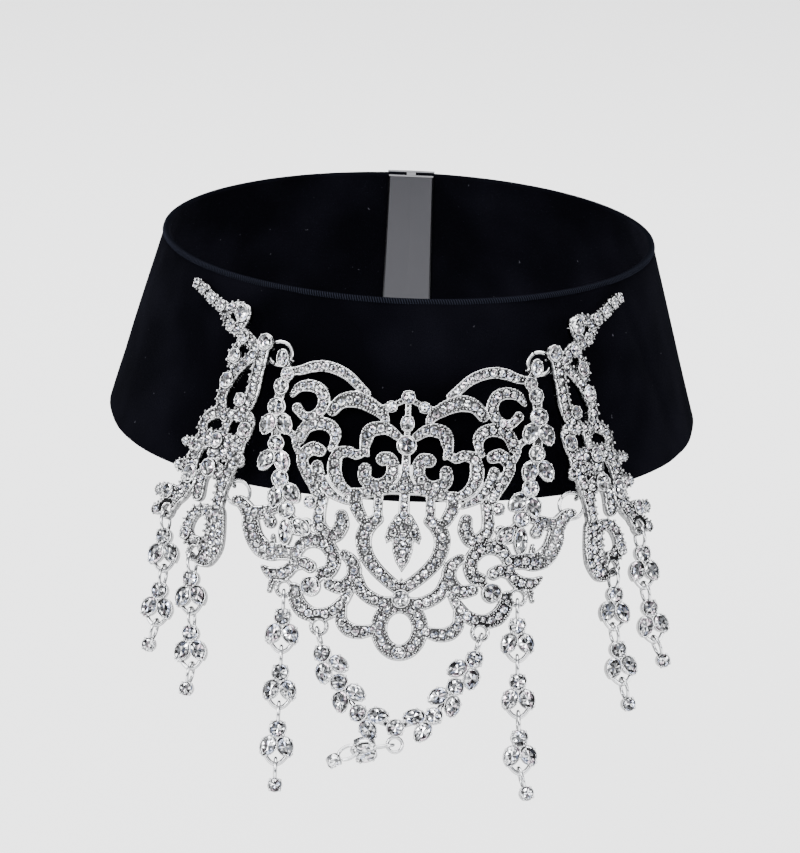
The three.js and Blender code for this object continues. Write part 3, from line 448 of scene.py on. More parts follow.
# Meshes are gathered in bags of points, triangles and one colour for each corner
class Bag:
    def __init__(self):
        self.points, self.faces, self.colours, self.count = [], [], [], 0

    def add(self, points, faces, colours):
        points = np.asarray(points, float)
        faces = np.asarray(faces, int)
        tones = np.ones((len(faces), 3, 3)) * np.asarray(colours, float)
        self.points.append(points)
        self.faces.append(faces + self.count)
        self.colours.append(tones)
        self.count += len(points)

    def place(self, change):
        self.points = [change(p) for p in self.points]

    def extend(self, other, change):
        for points, faces, colours in zip(other.points, other.faces, other.colours):
            self.points.append(change(points))
            self.faces.append(faces + self.count)
            self.colours.append(colours)
        self.count += other.count

    def to_object(self, name, material, smooth, shade=False):
        points = np.concatenate(self.points) * METRES
        faces = np.concatenate(self.faces)
        colours = np.concatenate(self.colours)
        # Painted shade: alloy is darkened on its flanks by which way it faces
        if shade:
            colours = colours * painted_flank_shade(points, faces)[faces][:, :, None]
        colours = colours.reshape(-1, 3)
        made = bpy.data.meshes.new(name)
        made.vertices.add(len(points))
        made.vertices.foreach_set("co", points.astype(np.float32).ravel())
        made.loops.add(faces.size)
        made.loops.foreach_set("vertex_index", faces.astype(np.int32).ravel())
        made.polygons.add(len(faces))
        made.polygons.foreach_set("loop_start", np.arange(0, faces.size, 3, dtype=np.int32))
        made.polygons.foreach_set("use_smooth", np.full(len(faces), smooth))
        layer = made.color_attributes.new(name="tone", type="FLOAT_COLOR", domain="CORNER")
        rgba = np.concatenate([colours, np.ones((len(colours), 1))], 1)
        layer.data.foreach_set("color", rgba.astype(np.float32).ravel())
        made.materials.append(material)
        made.update(calc_edges=True)
        made.validate()
        thing = bpy.data.objects.new(name, made)
        bpy.context.scene.collection.objects.link(thing)
        return thing


def grid_faces(rows, columns, closed_columns=False, closed_rows=False):
    wide = columns if closed_columns else columns - 1
    tall = rows if closed_rows else rows - 1
    r, c = np.meshgrid(np.arange(tall), np.arange(wide), indexing="ij")
    r, c = r.ravel(), c.ravel()
    a = r * columns + c
    b = r * columns + (c + 1) % columns
    d = (r + 1) % rows * columns + c
    e = (r + 1) % rows * columns + (c + 1) % columns
    return np.concatenate([np.stack([a, b, e], 1), np.stack([a, e, d], 1)])


def tube(bag, path, radius, sides=WIRE_SIDES, closed=False):
    path = np.asarray(path, float)
    count = len(path)
    if closed:
        along = np.roll(path, -1, 0) - np.roll(path, 1, 0)
    else:
        along = np.gradient(path, axis=0)
    along /= np.linalg.norm(along, axis=1)[:, None]
    flat = path - path.mean(0)
    normal = np.linalg.svd(flat, full_matrices=True)[2][2]
    side = np.cross(along, normal)
    side /= np.linalg.norm(side, axis=1)[:, None]
    up = np.cross(side, along)
    angle = np.arange(sides) * 2 * math.pi / sides
    ring = side[:, None] * np.cos(angle)[None, :, None] + up[:, None] * np.sin(angle)[None, :, None]
    points = path[:, None] + ring * radius
    faces = grid_faces(count, sides, closed_columns=True, closed_rows=closed)
    points = points.reshape(-1, 3)
    if not closed:
        ends = np.array([path[0], path[-1]])
        first, last = len(points), len(points) + 1
        around = np.arange(sides)
        near = np.stack([np.full(sides, first), (around + 1) % sides, around], 1)
        far = (count - 1) * sides
        away = np.stack([np.full(sides, last), far + around, far + (around + 1) % sides], 1)
        points = np.concatenate([points, ends])
        faces = np.concatenate([faces, near, away])
    bag.add(points, faces, 1.0)


def bead(bag, place, radius, sides=BEAD_SIDES, squash=1.0, colour=1.0):
    polar = np.linspace(0, math.pi, BEAD_RINGS + 1)[1:-1]
    angle = np.arange(sides) * 2 * math.pi / sides
    body = np.stack([
        np.outer(np.sin(polar), np.cos(angle)), np.repeat(-np.cos(polar)[:, None], sides, 1) * squash,
        np.outer(np.sin(polar), np.sin(angle)),
    ], -1).reshape(-1, 3)
    points = np.concatenate([body, [[0, -squash, 0], [0, squash, 0]]]) * radius + np.asarray(place)
    around = np.arange(sides)
    after = (around + 1) % sides
    low = len(body)
    last = (BEAD_RINGS - 2) * sides
    faces = np.concatenate([
        grid_faces(BEAD_RINGS - 1, sides, closed_columns=True),
        np.stack([np.full(sides, low), after, around], 1),
        np.stack([np.full(sides, low + 1), last + around, last + after], 1),
    ])
    bag.add(points, faces, colour)


# Cut stones: outlines about a centre, a ring of facets and a table whose parts carry painted glints, each
# facet painted bright or dark as a reflection
DICE = np.random.default_rng(7)
DARK_GLINT, BRIGHT_GLINT, MIXED_DARK = (0.01, 0.14), (0.45, 1.0), 0.36
BLUE_SHARE, BLUE_TINT = 0.14, (0.74, 0.80, 1.0)
ROSE_SHARE, ROSE_TINT = 0.10, (1.0, 0.82, 0.90)


def glints(count, patch=1, odd_dark=MIXED_DARK, even_dark=MIXED_DARK):
    """One painted glint for each facet: a painted highlight or dark reflection, now and then faintly blue or
    rose.
    """
    drawn = -(-count // patch)
    chance = np.where(np.arange(drawn) % 2, odd_dark, even_dark)
    is_dark = DICE.random(drawn) < chance
    tone = np.where(is_dark, DICE.uniform(*DARK_GLINT, drawn), DICE.uniform(*BRIGHT_GLINT, drawn))
    tint = np.ones((drawn, 3))
    pick = DICE.random(drawn)
    tint[pick < BLUE_SHARE] = BLUE_TINT
    tint[pick > 1 - ROSE_SHARE] = ROSE_TINT
    return np.repeat(tone[:, None] * tint, patch, 0)[:count]


def round_outline(angle):
    return np.stack([np.sin(angle), np.cos(angle)], -1) * 0.5


LEAF_POINT, LEAF_SHOULDER = 0.7, 0.08


def leaf_outline(angle):
    """A leaf with its round end up and its pointed end down, one unit long and wide."""
    point = np.maximum(0, -np.cos(angle))
    across = np.sin(angle) * np.abs(np.sin(angle)) ** (LEAF_POINT * point)
    wide = across * (1 + LEAF_SHOULDER * np.cos(angle))
    return np.stack([wide * 0.5, np.cos(angle) * 0.5], -1)


# A main stone: shares of its outline and of its rise, and the chances of facets painted dark as reflections
STONE_FOOT, STONE_BEVEL, STONE_TABLE, STONE_DEPTH = 0.98, 0.8, 0.5, 0.25
BEVEL_RISE, TABLE_DIP, TABLE_MIDDLE = 0.62, 0.76, 0.86
BEVEL_DARK, TABLE_EDGE_DARK, TABLE_DARK = (0.7, 0.08), (0.1, 0.55), (0.62, 0.12)


def gem(bag, outline, wide, tall, girdle, rise):
    """A faceted stone that rises from its girdle, over the plane of across and up."""
    sides = GEM_SIDES
    angle = np.arange(sides) * 2 * math.pi / sides
    size = np.array([wide, tall])
    outer = outline(angle) * size
    half = outline(angle + math.pi / sides) * size * STONE_BEVEL
    inner = outline(angle) * size * STONE_TABLE
    low = outline(angle) * size * STONE_FOOT
    crown = girdle + rise * np.where(np.arange(sides) % 2, TABLE_DIP, 1.0)
    bevel = girdle + rise * BEVEL_RISE
    rings = [(low, girdle - STONE_DEPTH), (outer, girdle), (half, bevel), (inner, crown)]
    points = np.concatenate([np.stack([r[:, 0], np.full(sides, h), r[:, 1]], 1) for r, h in rings])
    points = np.concatenate([points, [[0, girdle + rise * TABLE_MIDDLE, 0]]])
    around = np.arange(sides)
    table = np.stack([np.full(sides, 4 * sides), 3 * sides + around, 3 * sides + (around + 1) % sides], 1)
    faces = np.concatenate([grid_faces(4, sides, closed_columns=True), table])
    # Each ring of facets gets painted glints: painted highlights and dark reflections
    belt = np.concatenate([glints(sides), glints(sides, 2, *BEVEL_DARK), glints(sides, 2, *TABLE_EDGE_DARK)])
    bag.add(points, faces, np.concatenate([belt, belt, glints(sides, 1, *TABLE_DARK)])[:, None, :])


# A fine stone, in the same way, with painted glints, and its whole brightness drawn at random as painted
# sparkle
LARGE_FINE_RADIUS, FINE_RISE, FINE_SLOPE = 0.55, 0.16, 0.28
FINE_BEVEL, FINE_TABLE = 0.78, 0.52
FINE_BEVEL_RISE, FINE_DIP, FINE_MIDDLE = 0.6, 0.7, 0.82
FINE_EDGE_DARK, FINE_BEVEL_DARK, FINE_TABLE_DARK = (0.55, 0.05), (0.4, 0.08), (0.4, 0.06)
FINE_BRIGHT = (0.8, 1.0)


def small_gem(bag, place, radius, girdle, turn):
    sides = LARGE_FINE_SIDES if radius > LARGE_FINE_RADIUS else SMALL_FINE_SIDES
    angle = np.arange(sides) * 2 * math.pi / sides + turn
    half = angle + math.pi / sides
    rise = FINE_RISE + radius * FINE_SLOPE
    crown = rise * np.where(np.arange(sides) % 2, FINE_DIP, 1.0)
    rings = [(angle, 1.0, 0.0), (half, FINE_BEVEL, rise * FINE_BEVEL_RISE), (angle, FINE_TABLE, crown)]
    points = np.concatenate([
        np.stack([np.sin(a) * grow * radius, np.full(sides, girdle + up), np.cos(a) * grow * radius], 1)
        for a, grow, up in rings
    ] + [[[0, girdle + rise * FINE_MIDDLE, 0]]]) + (place[0], 0, place[1])
    around = np.arange(sides)
    table = np.stack([np.full(sides, 3 * sides), 2 * sides + around, 2 * sides + (around + 1) % sides], 1)
    faces = np.concatenate([grid_faces(3, sides, closed_columns=True), table])
    # Painted glints on the facets, and the whole stone painted brighter or dimmer as sparkle
    belt = np.concatenate([glints(sides, 1, *FINE_EDGE_DARK), glints(sides, 2, *FINE_BEVEL_DARK)])
    tones = np.concatenate([belt, belt, glints(sides, 2, *FINE_TABLE_DARK)])
    bag.add(points, faces, tones[:, None, :] * DICE.uniform(*FINE_BRIGHT))


# A cup's rings from its back, over its rim and down inside: out is from its back or from the girdle; tone
# paints shade, a little on the back and deep down inside under the stone
CUP_RINGS = [
    dict(grow=0.80, walled=False, at_girdle=False, out=0.0, tone=0.7),
    dict(grow=0.95, walled=True, at_girdle=False, out=0.2, tone=0.8),
    dict(grow=1.0, walled=True, at_girdle=True, out=-0.1, tone=1.0),
    dict(grow=0.985, walled=True, at_girdle=True, out=0.12, tone=1.0),
    dict(grow=1.0, walled=False, at_girdle=True, out=0.16, tone=1.0),
    dict(grow=0.955, walled=False, at_girdle=True, out=0.05, tone=0.12),
    dict(grow=0.94, walled=False, at_girdle=True, out=-0.15, tone=0.04),
]
CUP_BACK_SHADE = 0.7


def setting(bag, outline, wide, tall, back, girdle, wall, closed_back):
    """A cup with a rounded rim round a stone."""
    sides = CUP_SIDES
    angle = np.arange(sides) * 2 * math.pi / sides
    size = np.array([wide, tall])
    walls = 1 + 2 * wall / wide
    points = []
    for row in CUP_RINGS:
        ring = outline(angle) * size * (row["grow"] * (walls if row["walled"] else 1))
        out = row["out"] + (girdle if row["at_girdle"] else back)
        points.append(np.stack([ring[:, 0], np.full(sides, out), ring[:, 1]], 1))
    points = np.concatenate(points)
    faces = grid_faces(len(CUP_RINGS), sides, closed_columns=True)
    # Painted shade: each ring's tone darkens the back and the inside of the cup
    tones = np.repeat([row["tone"] for row in CUP_RINGS], sides)
    if closed_back:
        around = np.arange(sides)
        cap = np.stack([np.full(sides, len(points)), (around + 1) % sides, around], 1)
        points = np.concatenate([points, [[0, back, 0]]])
        faces = np.concatenate([faces, cap])
        tones = np.append(tones, CUP_BACK_SHADE)
    bag.add(points, faces, tones[faces][:, :, None])


# Where a claw's tip stands round its stone, and how flat it is
CLAW_GROW, CLAW_OUT, CLAW_SQUASH = 0.98, 0.12, 0.9


def claws(bag, outline, wide, tall, girdle, reach, count, start):
    for k in range(count):
        spot = outline(np.array([start + k * 2 * math.pi / count]))[0] * (wide, tall) * CLAW_GROW
        bead(bag, (spot[0], girdle + CLAW_OUT, spot[1]), reach, sides=CLAW_SIDES, squash=CLAW_SQUASH)


# Castings: a field of distances from the edge of all strokes, in the plane of the plate
def spline(points, t):
    points = np.asarray(points, float)
    last = len(points) - 1
    place = np.clip(np.asarray(t) * last, 0, last)
    i = np.minimum(place.astype(int), last - 1)
    w = (place - i)[:, None]
    p0, p1 = points[np.maximum(i - 1, 0)], points[i]
    p2, p3 = points[i + 1], points[np.minimum(i + 2, last)]
    p0 = np.where((i == 0)[:, None], p1, p0)
    v0, v1 = (p2 - p0) / 2, (p3 - p1) / 2
    return (2 * p1 - 2 * p2 + v0 + v1) * w ** 3 + (-3 * p1 + 3 * p2 - 2 * v0 - v1) * w ** 2 + v0 * w + p1


STROKE_STEP, FEWEST_STEPS, HOOP_STEPS = 0.18, 12, 90


def stroke(row, side, half, tall):
    points = np.stack([side * np.array(row["across"]) * half / 100, -np.array(row["down"]) * tall / 100], 1)
    rough = np.linalg.norm(np.diff(points, axis=0), axis=1).sum()
    t = np.linspace(0, 1, max(FEWEST_STEPS, int(rough / STROKE_STEP)))
    wide = np.interp(t, np.linspace(0, 1, len(row["wide"])), row["wide"]) * SCROLL_WIDE / 100
    return spline(points, t), wide / 2


def hoop(x, z, half, tall, wire):
    angle = np.linspace(0, 2 * math.pi, HOOP_STEPS)
    return np.stack([x + half * np.sin(angle), z + tall * np.cos(angle)], 1), np.full(HOOP_STEPS, wire / 2)


# A distance beyond all strokes, and the border round one that is measured
FAR, MARGIN = 9.0, 1


class Field:
    """Distances from the edge of what is inked on a grid, negative inside it."""

    def __init__(self, low, high, step):
        self.step = step
        self.u = np.arange(low[0], high[0] + step, step)
        self.v = np.arange(low[1], high[1] + step, step)
        self.gap = np.full((len(self.u), len(self.v)), FAR)

    def window(self, x, z, reach):
        i0, i1 = np.searchsorted(self.u, (x - reach, x + reach))
        j0, j1 = np.searchsorted(self.v, (z - reach, z + reach))
        return slice(i0, i1), slice(j0, j1)

    def ink(self, centres, radii):
        for (x, z), r in zip(centres, radii):
            i, j = self.window(x, z, r + MARGIN)
            near = np.hypot(self.u[i][:, None] - x, self.v[j][None] - z) - r
            self.gap[i, j] = np.minimum(self.gap[i, j], near)

    def oval(self, x, z, half, tall, turn):
        i, j = self.window(x, z, max(half, tall) + MARGIN)
        du, dv = self.u[i][:, None] - x, self.v[j][None] - z
        a = du * math.cos(turn) + dv * math.sin(turn)
        b = -du * math.sin(turn) + dv * math.cos(turn)
        near = (np.hypot(a / half, b / tall) - 1) * min(half, tall)
        self.gap[i, j] = np.minimum(self.gap[i, j], near)

    def polygon(self, corners):
        corners = np.asarray(corners)
        middle = (corners.min(0) + corners.max(0)) / 2
        i, j = self.window(middle[0], middle[1], np.ptp(corners, axis=0).max() / 2 + MARGIN)
        du, dv = np.meshgrid(self.u[i], self.v[j], indexing="ij")
        near = np.full(du.shape, FAR)
        inside = np.zeros(du.shape, bool)
        for (x0, z0), (x1, z1) in zip(corners, np.roll(corners, -1, 0)):
            ex, ez = x1 - x0, z1 - z0
            t = np.clip(((du - x0) * ex + (dv - z0) * ez) / (ex * ex + ez * ez + TINY_SQUARE), 0, 1)
            near = np.minimum(near, np.hypot(du - x0 - t * ex, dv - z0 - t * ez))
            crosses = (z0 > dv) != (z1 > dv)
            at = x0 + (dv - z0) / (ez if abs(ez) > TINY_LENGTH else TINY_LENGTH) * ex
            inside ^= crosses & (du < at)
        self.gap[i, j] = np.minimum(self.gap[i, j], np.where(inside, -near, near))

    def bore(self, x, z, radius):
        i, j = self.window(x, z, radius + MARGIN)
        near = radius - np.hypot(self.u[i][:, None] - x, self.v[j][None] - z)
        self.gap[i, j] = np.maximum(self.gap[i, j], near)

    def depth_at(self, points):
        i = np.clip(np.round((points[:, 0] - self.u[0]) / self.step).astype(int), 0, len(self.u) - 1)
        j = np.clip(np.round((points[:, 1] - self.v[0]) / self.step).astype(int), 0, len(self.v) - 1)
        return -self.gap[i, j]


# The rim's roundness and fall, the channel's tone, painted dark as shade between the stones, where it
# starts, and how far edges are pulled in
RIM_ROUND, RIM_FALL = 0.7, 0.55
CHANNEL_SHADE, CHANNEL_EDGE, EDGE_PULL = 0.05, 0.8, 0.7


def rim_profile(depth, rim, channel):
    """How far the face of a casting stands out: a rounded raised rim, then the floor of the channel."""
    top = CAST_THICK / 2
    crest = np.sin(np.clip(depth / rim, 0, 1) * math.pi) ** RIM_ROUND
    edge = np.where(depth < rim / 2, top - RIM_FALL, top - channel)
    return edge + (top - edge) * crest


def casting(bag, field, rim, channel):
    gap = field.gap
    middle = (gap[:-1, :-1] + gap[1:, :-1] + gap[:-1, 1:] + gap[1:, 1:]) / 4
    kept = middle < 0
    i, j = np.nonzero(kept)
    tall = gap.shape[1]
    corners = np.stack([i * tall + j, (i + 1) * tall + j, (i + 1) * tall + j + 1, i * tall + j + 1], 1)
    slope_u, slope_v = np.gradient(gap, field.step)
    size = np.hypot(slope_u, slope_v) + TINY_SLOPE
    around = np.zeros(np.array(gap.shape), int)
    for di in (0, 1):
        for dj in (0, 1):
            around[di:gap.shape[0] - 1 + di, dj:gap.shape[1] - 1 + dj] += kept
    edge = (around > 0) & (around < 4)
    reach = EDGE_PULL * field.step
    pull = np.where(edge, np.clip(gap / size, -reach, reach), 0)
    u = field.u[:, None] - pull * slope_u / size
    v = field.v[None] - pull * slope_v / size
    depth = np.where(edge, 0, np.maximum(-gap, 0))
    out = rim_profile(depth, rim, channel)
    # The channel floor is painted dark as shade between the stones and beads
    tone = np.where(depth > rim * CHANNEL_EDGE, CHANNEL_SHADE, 1.0)
    used, local = np.unique(corners, return_inverse=True)
    local = local.reshape(corners.shape)
    flat = np.stack([u.ravel()[used], out.ravel()[used], v.ravel()[used]], 1)
    rear = flat.copy()
    rear[:, 1] = -CAST_THICK / 2
    count = len(used)
    front = np.concatenate([local[:, [0, 1, 2]], local[:, [0, 2, 3]]])
    behind = front[:, ::-1] + count
    ends = np.concatenate([local[:, [0, 1]], local[:, [1, 2]], local[:, [2, 3]], local[:, [3, 0]]])
    key = ends.min(1) * (count + 1) + ends.max(1)
    _, first, times = np.unique(key, return_index=True, return_counts=True)
    border = ends[first[times == 1]]
    a, b = border[:, 0], border[:, 1]
    walls = np.concatenate([np.stack([b, a, a + count], 1), np.stack([b, a + count, b + count], 1)])
    faces = np.concatenate([front, behind, walls])
    tones = np.concatenate([tone.ravel()[used], np.ones(count)])
    bag.add(np.concatenate([flat, rear]), faces, tones[faces][:, :, None])


# Gaps between fine stones, how near an edge a prong stands, and how far and loosely rounds are cleared
STONE_GAP, SMALL_GAP, PRONG_NEAR, CLEAR_REACH, SIZE_SLACK = 0.05, 0.04, 0.3, 2.5, 0.1


def row_along(centres, radii, rim, least, most):
    """A row of stones along a stroke, each as wide as its channel."""
    step = np.concatenate([[0], np.cumsum(np.linalg.norm(np.diff(centres, axis=0), axis=1))])
    row, at = [], 0.0
    while at < step[-1]:
        wide = 2 * (np.interp(at, step, radii) - rim)
        size = min(max(wide, least), most)
        at += size / 2
        row.append((np.interp(at, step, centres[:, 0]), np.interp(at, step, centres[:, 1]), size / 2))
        at += size / 2 + STONE_GAP
    return row


def edge_prongs(field, strokes, pitch):
    """Where prongs stand along the outer edges of the strokes."""
    spots = []
    for centres, radii in strokes:
        step = np.concatenate([[0], np.cumsum(np.linalg.norm(np.diff(centres, axis=0), axis=1))])
        across = np.stack([-np.gradient(centres[:, 1]), np.gradient(centres[:, 0])], 1)
        across /= np.linalg.norm(across, axis=1)[:, None] + TINY_LENGTH
        for at in np.arange(pitch / 2, step[-1], pitch):
            k = min(np.searchsorted(step, at), len(centres) - 1)
            spots += [centres[k] + across[k] * hand * radii[k] for hand in (-1, 1)]
    spots = np.array(spots)
    return spots[np.abs(field.depth_at(spots)) < PRONG_NEAR]


class Packing:
    """Rounds that lie on a casting, clear of its rim, of the main stones and of each other."""

    def __init__(self, field, rim, blocked):
        self.field = field
        self.room = -field.gap - rim
        self.rounds = []
        for x, z, reach in blocked:
            self.clear(x, z, reach)

    def clear(self, x, z, reach):
        i, j = self.field.window(x, z, reach + CLEAR_REACH)
        near = np.hypot(self.field.u[i][:, None] - x, self.field.v[j][None] - z) - reach
        self.room[i, j] = np.minimum(self.room[i, j], near)

    def take(self, x, z, radius):
        self.rounds.append((x, z, radius))
        self.clear(x, z, radius + SMALL_GAP)

    def offer(self, x, z, radius, least):
        i, j = self.field.window(x, z, self.field.step)
        found = self.room[i, j]
        radius = min(radius, found.max() + SIZE_SLACK) if found.size else 0.0
        if radius >= least:
            self.take(x, z, radius)

    def fill(self, least, most):
        while True:
            place = np.unravel_index(self.room.argmax(), self.room.shape)
            room = self.room[place]
            if room < least:
                return
            self.take(self.field.u[place[0]], self.field.v[place[1]], min(room, most))


# How fine stones and beads sit on the channel's floor, and how bright the beads are painted, as reflections
# drawn at random
FINE_SEAT, FINE_TURN, BEAD_SEAT, BEAD_LEAST, BEAD_BRIGHT = 0.1, 0.8, 0.24, 0.17, (0.4, 1.0)


def set_pave(stones, metal, rounds, smallest, floor):
    for x, z, radius in rounds:
        if radius >= smallest:
            small_gem(stones, (x, z), radius, floor + FINE_SEAT, DICE.random() * FINE_TURN)
        else:
            place = (x, floor + BEAD_SEAT, z)
            # Each bead's brightness is painted at random as its reflection
            bead(metal, place, max(radius, BEAD_LEAST), colour=DICE.uniform(*BEAD_BRIGHT))


# How a stone sits: girdle and claw are in millimetres, rise is a share of STONE_RISE, the rest of its size
SEATED = dict(girdle=0.12, cut=0.88, rise=0.62, cup=0.9, wall=0.05, claws=0.94, claw=0.28)
SEATED_LEAF = dict(girdle=0.1, cut=0.9, rise=0.6, cup=0.92, wall=0.04, claws=0.96, claw=0.34)
SEATED_LINK = dict(girdle=0.1, cut=0.88, rise=0.66, cup=0.9, wall=0.05, claws=0.96, claw=0.36)
CUP_BACK, CLAWS, LEAF_CLAWS = 0.1, 4, 5


def seat(stones, metal, outline, wide, tall, how, back, closed_back, count=CLAWS, start=math.pi / 4):
    """A cut stone, its cup and its claws, about the origin."""
    girdle = CAST_THICK / 2 + how["girdle"]
    gem(stones, outline, wide * how["cut"], tall * how["cut"], girdle, STONE_RISE * how["rise"])
    wall = wide * how["wall"]
    setting(metal, outline, wide * how["cup"], tall * how["cup"], back, girdle, wall, closed_back)
    claws(metal, outline, wide * how["claws"], tall * how["claws"], girdle, how["claw"], count, start)


def set_stone(stones, metal, row, side, half, tall, change):
    wide = share(row["size"], STONE_WIDE)
    long = share(row["tall"], wide)
    turn = side * math.radians(row["turn"])
    place = flat_place(row, side, 0, half, tall)
    local_stones, local_metal = Bag(), Bag()
    seat(local_stones, local_metal, round_outline, wide, long, SEATED, CUP_BACK, False)
    turned = shifted(place) @ rotation("Y", turn)
    stones.extend(local_stones, lambda p: change(placed(turned, p)))
    metal.extend(local_metal, lambda p: change(placed(turned, p)))


def leaf_places(place, heading):
    for hand in (-1, 1):
        turn = heading + hand * math.radians(LEAF_SPREAD)
        centre = (place[0] + math.sin(turn) * LEAF_REACH, 0, place[2] - math.cos(turn) * LEAF_REACH)
        yield shifted(centre) @ rotation("Y", -turn)


def set_leaves(stones, metal, place, heading, back, closed_back, change):
    for turned in leaf_places(place, heading):
        local_stones, local_metal = Bag(), Bag()
        seat(
            local_stones, local_metal, leaf_outline, LEAF_WIDE, LEAF_LONG, SEATED_LEAF, back, closed_back,
            LEAF_CLAWS, 0.0)
        stones.extend(local_stones, lambda p: change(placed(turned, p)))
        metal.extend(local_metal, lambda p: change(placed(turned, p)))


# Wires and links, in a link's own frame: its stone at the origin, up along +Z, the face towards -Y
def face_out(points):
    """Swaps a bag's outward axis for a link's frame, where outward is -Y."""
    points = np.array(points, float)
    points[:, 1] = -points[:, 1]
    return points


def wire_loop(bag, twist, reach, low, change):
    top = reach + EYELET_WIRE / 2 + HOOK_GAP + LOOP_WIRE / 2
    half = (top - low) / 2
    angle = np.linspace(0, 2 * math.pi, LOOP_STEPS, endpoint=False)
    path = np.stack([np.zeros(LOOP_STEPS), LOOP_DEEP * np.cos(angle), top - half + half * np.sin(angle)], 1)
    path = placed(rotation("Z", twist), path)
    local = Bag()
    tube(local, path, LOOP_WIRE / 2, closed=True)
    bag.extend(local, change)


# How far a bail's ends sit inside its half width
BAIL_INSET = 0.4


def bail(bag, low, change):
    foot = np.array([0, 0, -low])
    reach, level = BAIL_HALF - BAIL_INSET, BAIL_RISE - low
    left, right = np.array([-reach, 0, level]), np.array([reach, 0, level])
    t = np.linspace(0, 1, BAIL_STEPS)[:, None]
    path = (1 - t) ** 2 * left + 2 * t * (1 - t) * (2 * foot - (left + right) / 2) + t ** 2 * right
    local = Bag()
    tube(local, path, BAIL_WIRE / 2)
    bag.extend(local, change)


def link_stone(stones, metal, wide, change):
    local_stones, local_metal = Bag(), Bag()
    seat(local_stones, local_metal, round_outline, wide, wide, SEATED_LINK, -CAST_THICK / 2, True)
    stones.extend(local_stones, lambda p: change(face_out(p)))
    metal.extend(local_metal, lambda p: change(face_out(p)))


def drop_link(stones, metal, twist, kind, change):
    if kind != "short":
        link_stone(stones, metal, END_STONE_WIDE if kind == "end" else STONE_WIDE, change)
    if kind == "end":
        wire_loop(metal, twist, LOOP_REACH, STONE_WIDE / 2 - LOOP_WIRE, change)
        return
    set_leaves(stones, metal, (0, 0, 0), 0.0, -CAST_THICK / 2, True, lambda p: change(face_out(p)))
    if kind == "short":
        bail(metal, SHORT_BAIL_DROP, change)
        wire_loop(metal, twist, SHORT_REACH, -LEAF_ROOT, change)
    else:
        bail(metal, BAIL_DROP, change)
        wire_loop(metal, twist, LOOP_REACH, STONE_WIDE / 2 - LOOP_WIRE, change)


def hang_links(stones, metal, place, hook, hang, kind="long"):
    reach = SHORT_REACH if kind == "short" else LOOP_REACH
    length = SHORT_BAIL_DROP if kind == "short" else BAIL_DROP
    hook = np.array(hook, float)
    before = 0.0
    for i, (lean, twist) in enumerate(hang):
        last = i == len(hang) - 1
        turn, spin = math.radians(lean), math.radians(twist)
        down = np.array([-math.sin(turn), 0, -math.cos(turn)])
        centre = hook + down * (LOOP_REACH if last else reach)
        link = place @ shifted(centre) @ rotation("Y", turn) @ rotation("Z", spin)
        drop_link(stones, metal, before - spin, "end" if last else kind, lambda p: placed(link, p))
        hook = centre + down * length
        before = spin


def hook_place(row, side, half, tall, radius):
    low = -share(row["down"], tall) - EYELET_HOLE - EYELET_WIRE / 2
    return bent([side * share(row["across"], half), 0, low], radius)


# Materials
def clear_nodes(name):
    made = bpy.data.materials.new(name)
    made.use_nodes = True
    return made, made.node_tree.nodes, made.node_tree.links, made.node_tree.nodes["Principled BSDF"]


def tone_into(nodes, links, shader, colour):
    """The base colour times the corner colours that the meshes carry."""
    tone = nodes.new("ShaderNodeVertexColor")
    tone.layer_name = "tone"
    mix = nodes.new("ShaderNodeMix")
    mix.data_type = "RGBA"
    mix.blend_type = "MULTIPLY"
    mix.inputs["Factor"].default_value = 1.0
    mix.inputs["A"].default_value = (*colour, 1.0)
    links.new(tone.outputs["Color"], mix.inputs["B"])
    links.new(mix.outputs["Result"], shader.inputs["Base Color"])


def bump_into(nodes, links, shader, scale, strength, distance, detail):
    """Fine unevenness: grains for a metre, how strong, how high in metres and how mixed."""
    place = nodes.new("ShaderNodeTexCoord")
    noise = nodes.new("ShaderNodeTexNoise")
    noise.inputs["Scale"].default_value = scale
    noise.inputs["Detail"].default_value = detail
    bump = nodes.new("ShaderNodeBump")
    bump.inputs["Strength"].default_value = strength
    bump.inputs["Distance"].default_value = distance
    links.new(place.outputs["Object"], noise.inputs["Vector"])
    links.new(noise.outputs["Fac"], bump.inputs["Height"])
    links.new(bump.outputs["Normal"], shader.inputs["Normal"])


def metal_material(name, colour, roughness):
    made, nodes, links, shader = clear_nodes(name)
    shader.inputs["Metallic"].default_value = 1.0
    shader.inputs["Roughness"].default_value = roughness
    tone_into(nodes, links, shader, colour)
    bump_into(nodes, links, shader, scale=900.0, strength=0.15, distance=0.0001, detail=2.0)
    return made


def crystal_material(name, colour, roughness):
    made, nodes, links, shader = clear_nodes(name)
    shader.inputs["Metallic"].default_value = 1.0
    shader.inputs["Roughness"].default_value = roughness
    shader.inputs["Coat Weight"].default_value = 0.15
    shader.inputs["Coat Roughness"].default_value = 0.02
    tone_into(nodes, links, shader, colour)
    return made


def noise_ramp(nodes, links, scale, positions, colours):
    """A noise that goes from one colour to another between two of its values."""
    place = nodes.new("ShaderNodeTexCoord")
    noise = nodes.new("ShaderNodeTexNoise")
    noise.inputs["Scale"].default_value = scale
    ramp = nodes.new("ShaderNodeValToRGB")
    for element, position, colour in zip(ramp.color_ramp.elements, positions, colours):
        element.position = position
        element.color = (*colour, 1.0)
    links.new(place.outputs["Object"], noise.inputs["Vector"])
    links.new(noise.outputs["Fac"], ramp.inputs["Fac"])
    return ramp.outputs["Color"]


# Brushed pile is this much brighter, and lint lies on it in specks
BRUSHED, NO_LINT, LINT = 2.2, (0.0, 0.0, 0.0), (0.04, 0.04, 0.05)


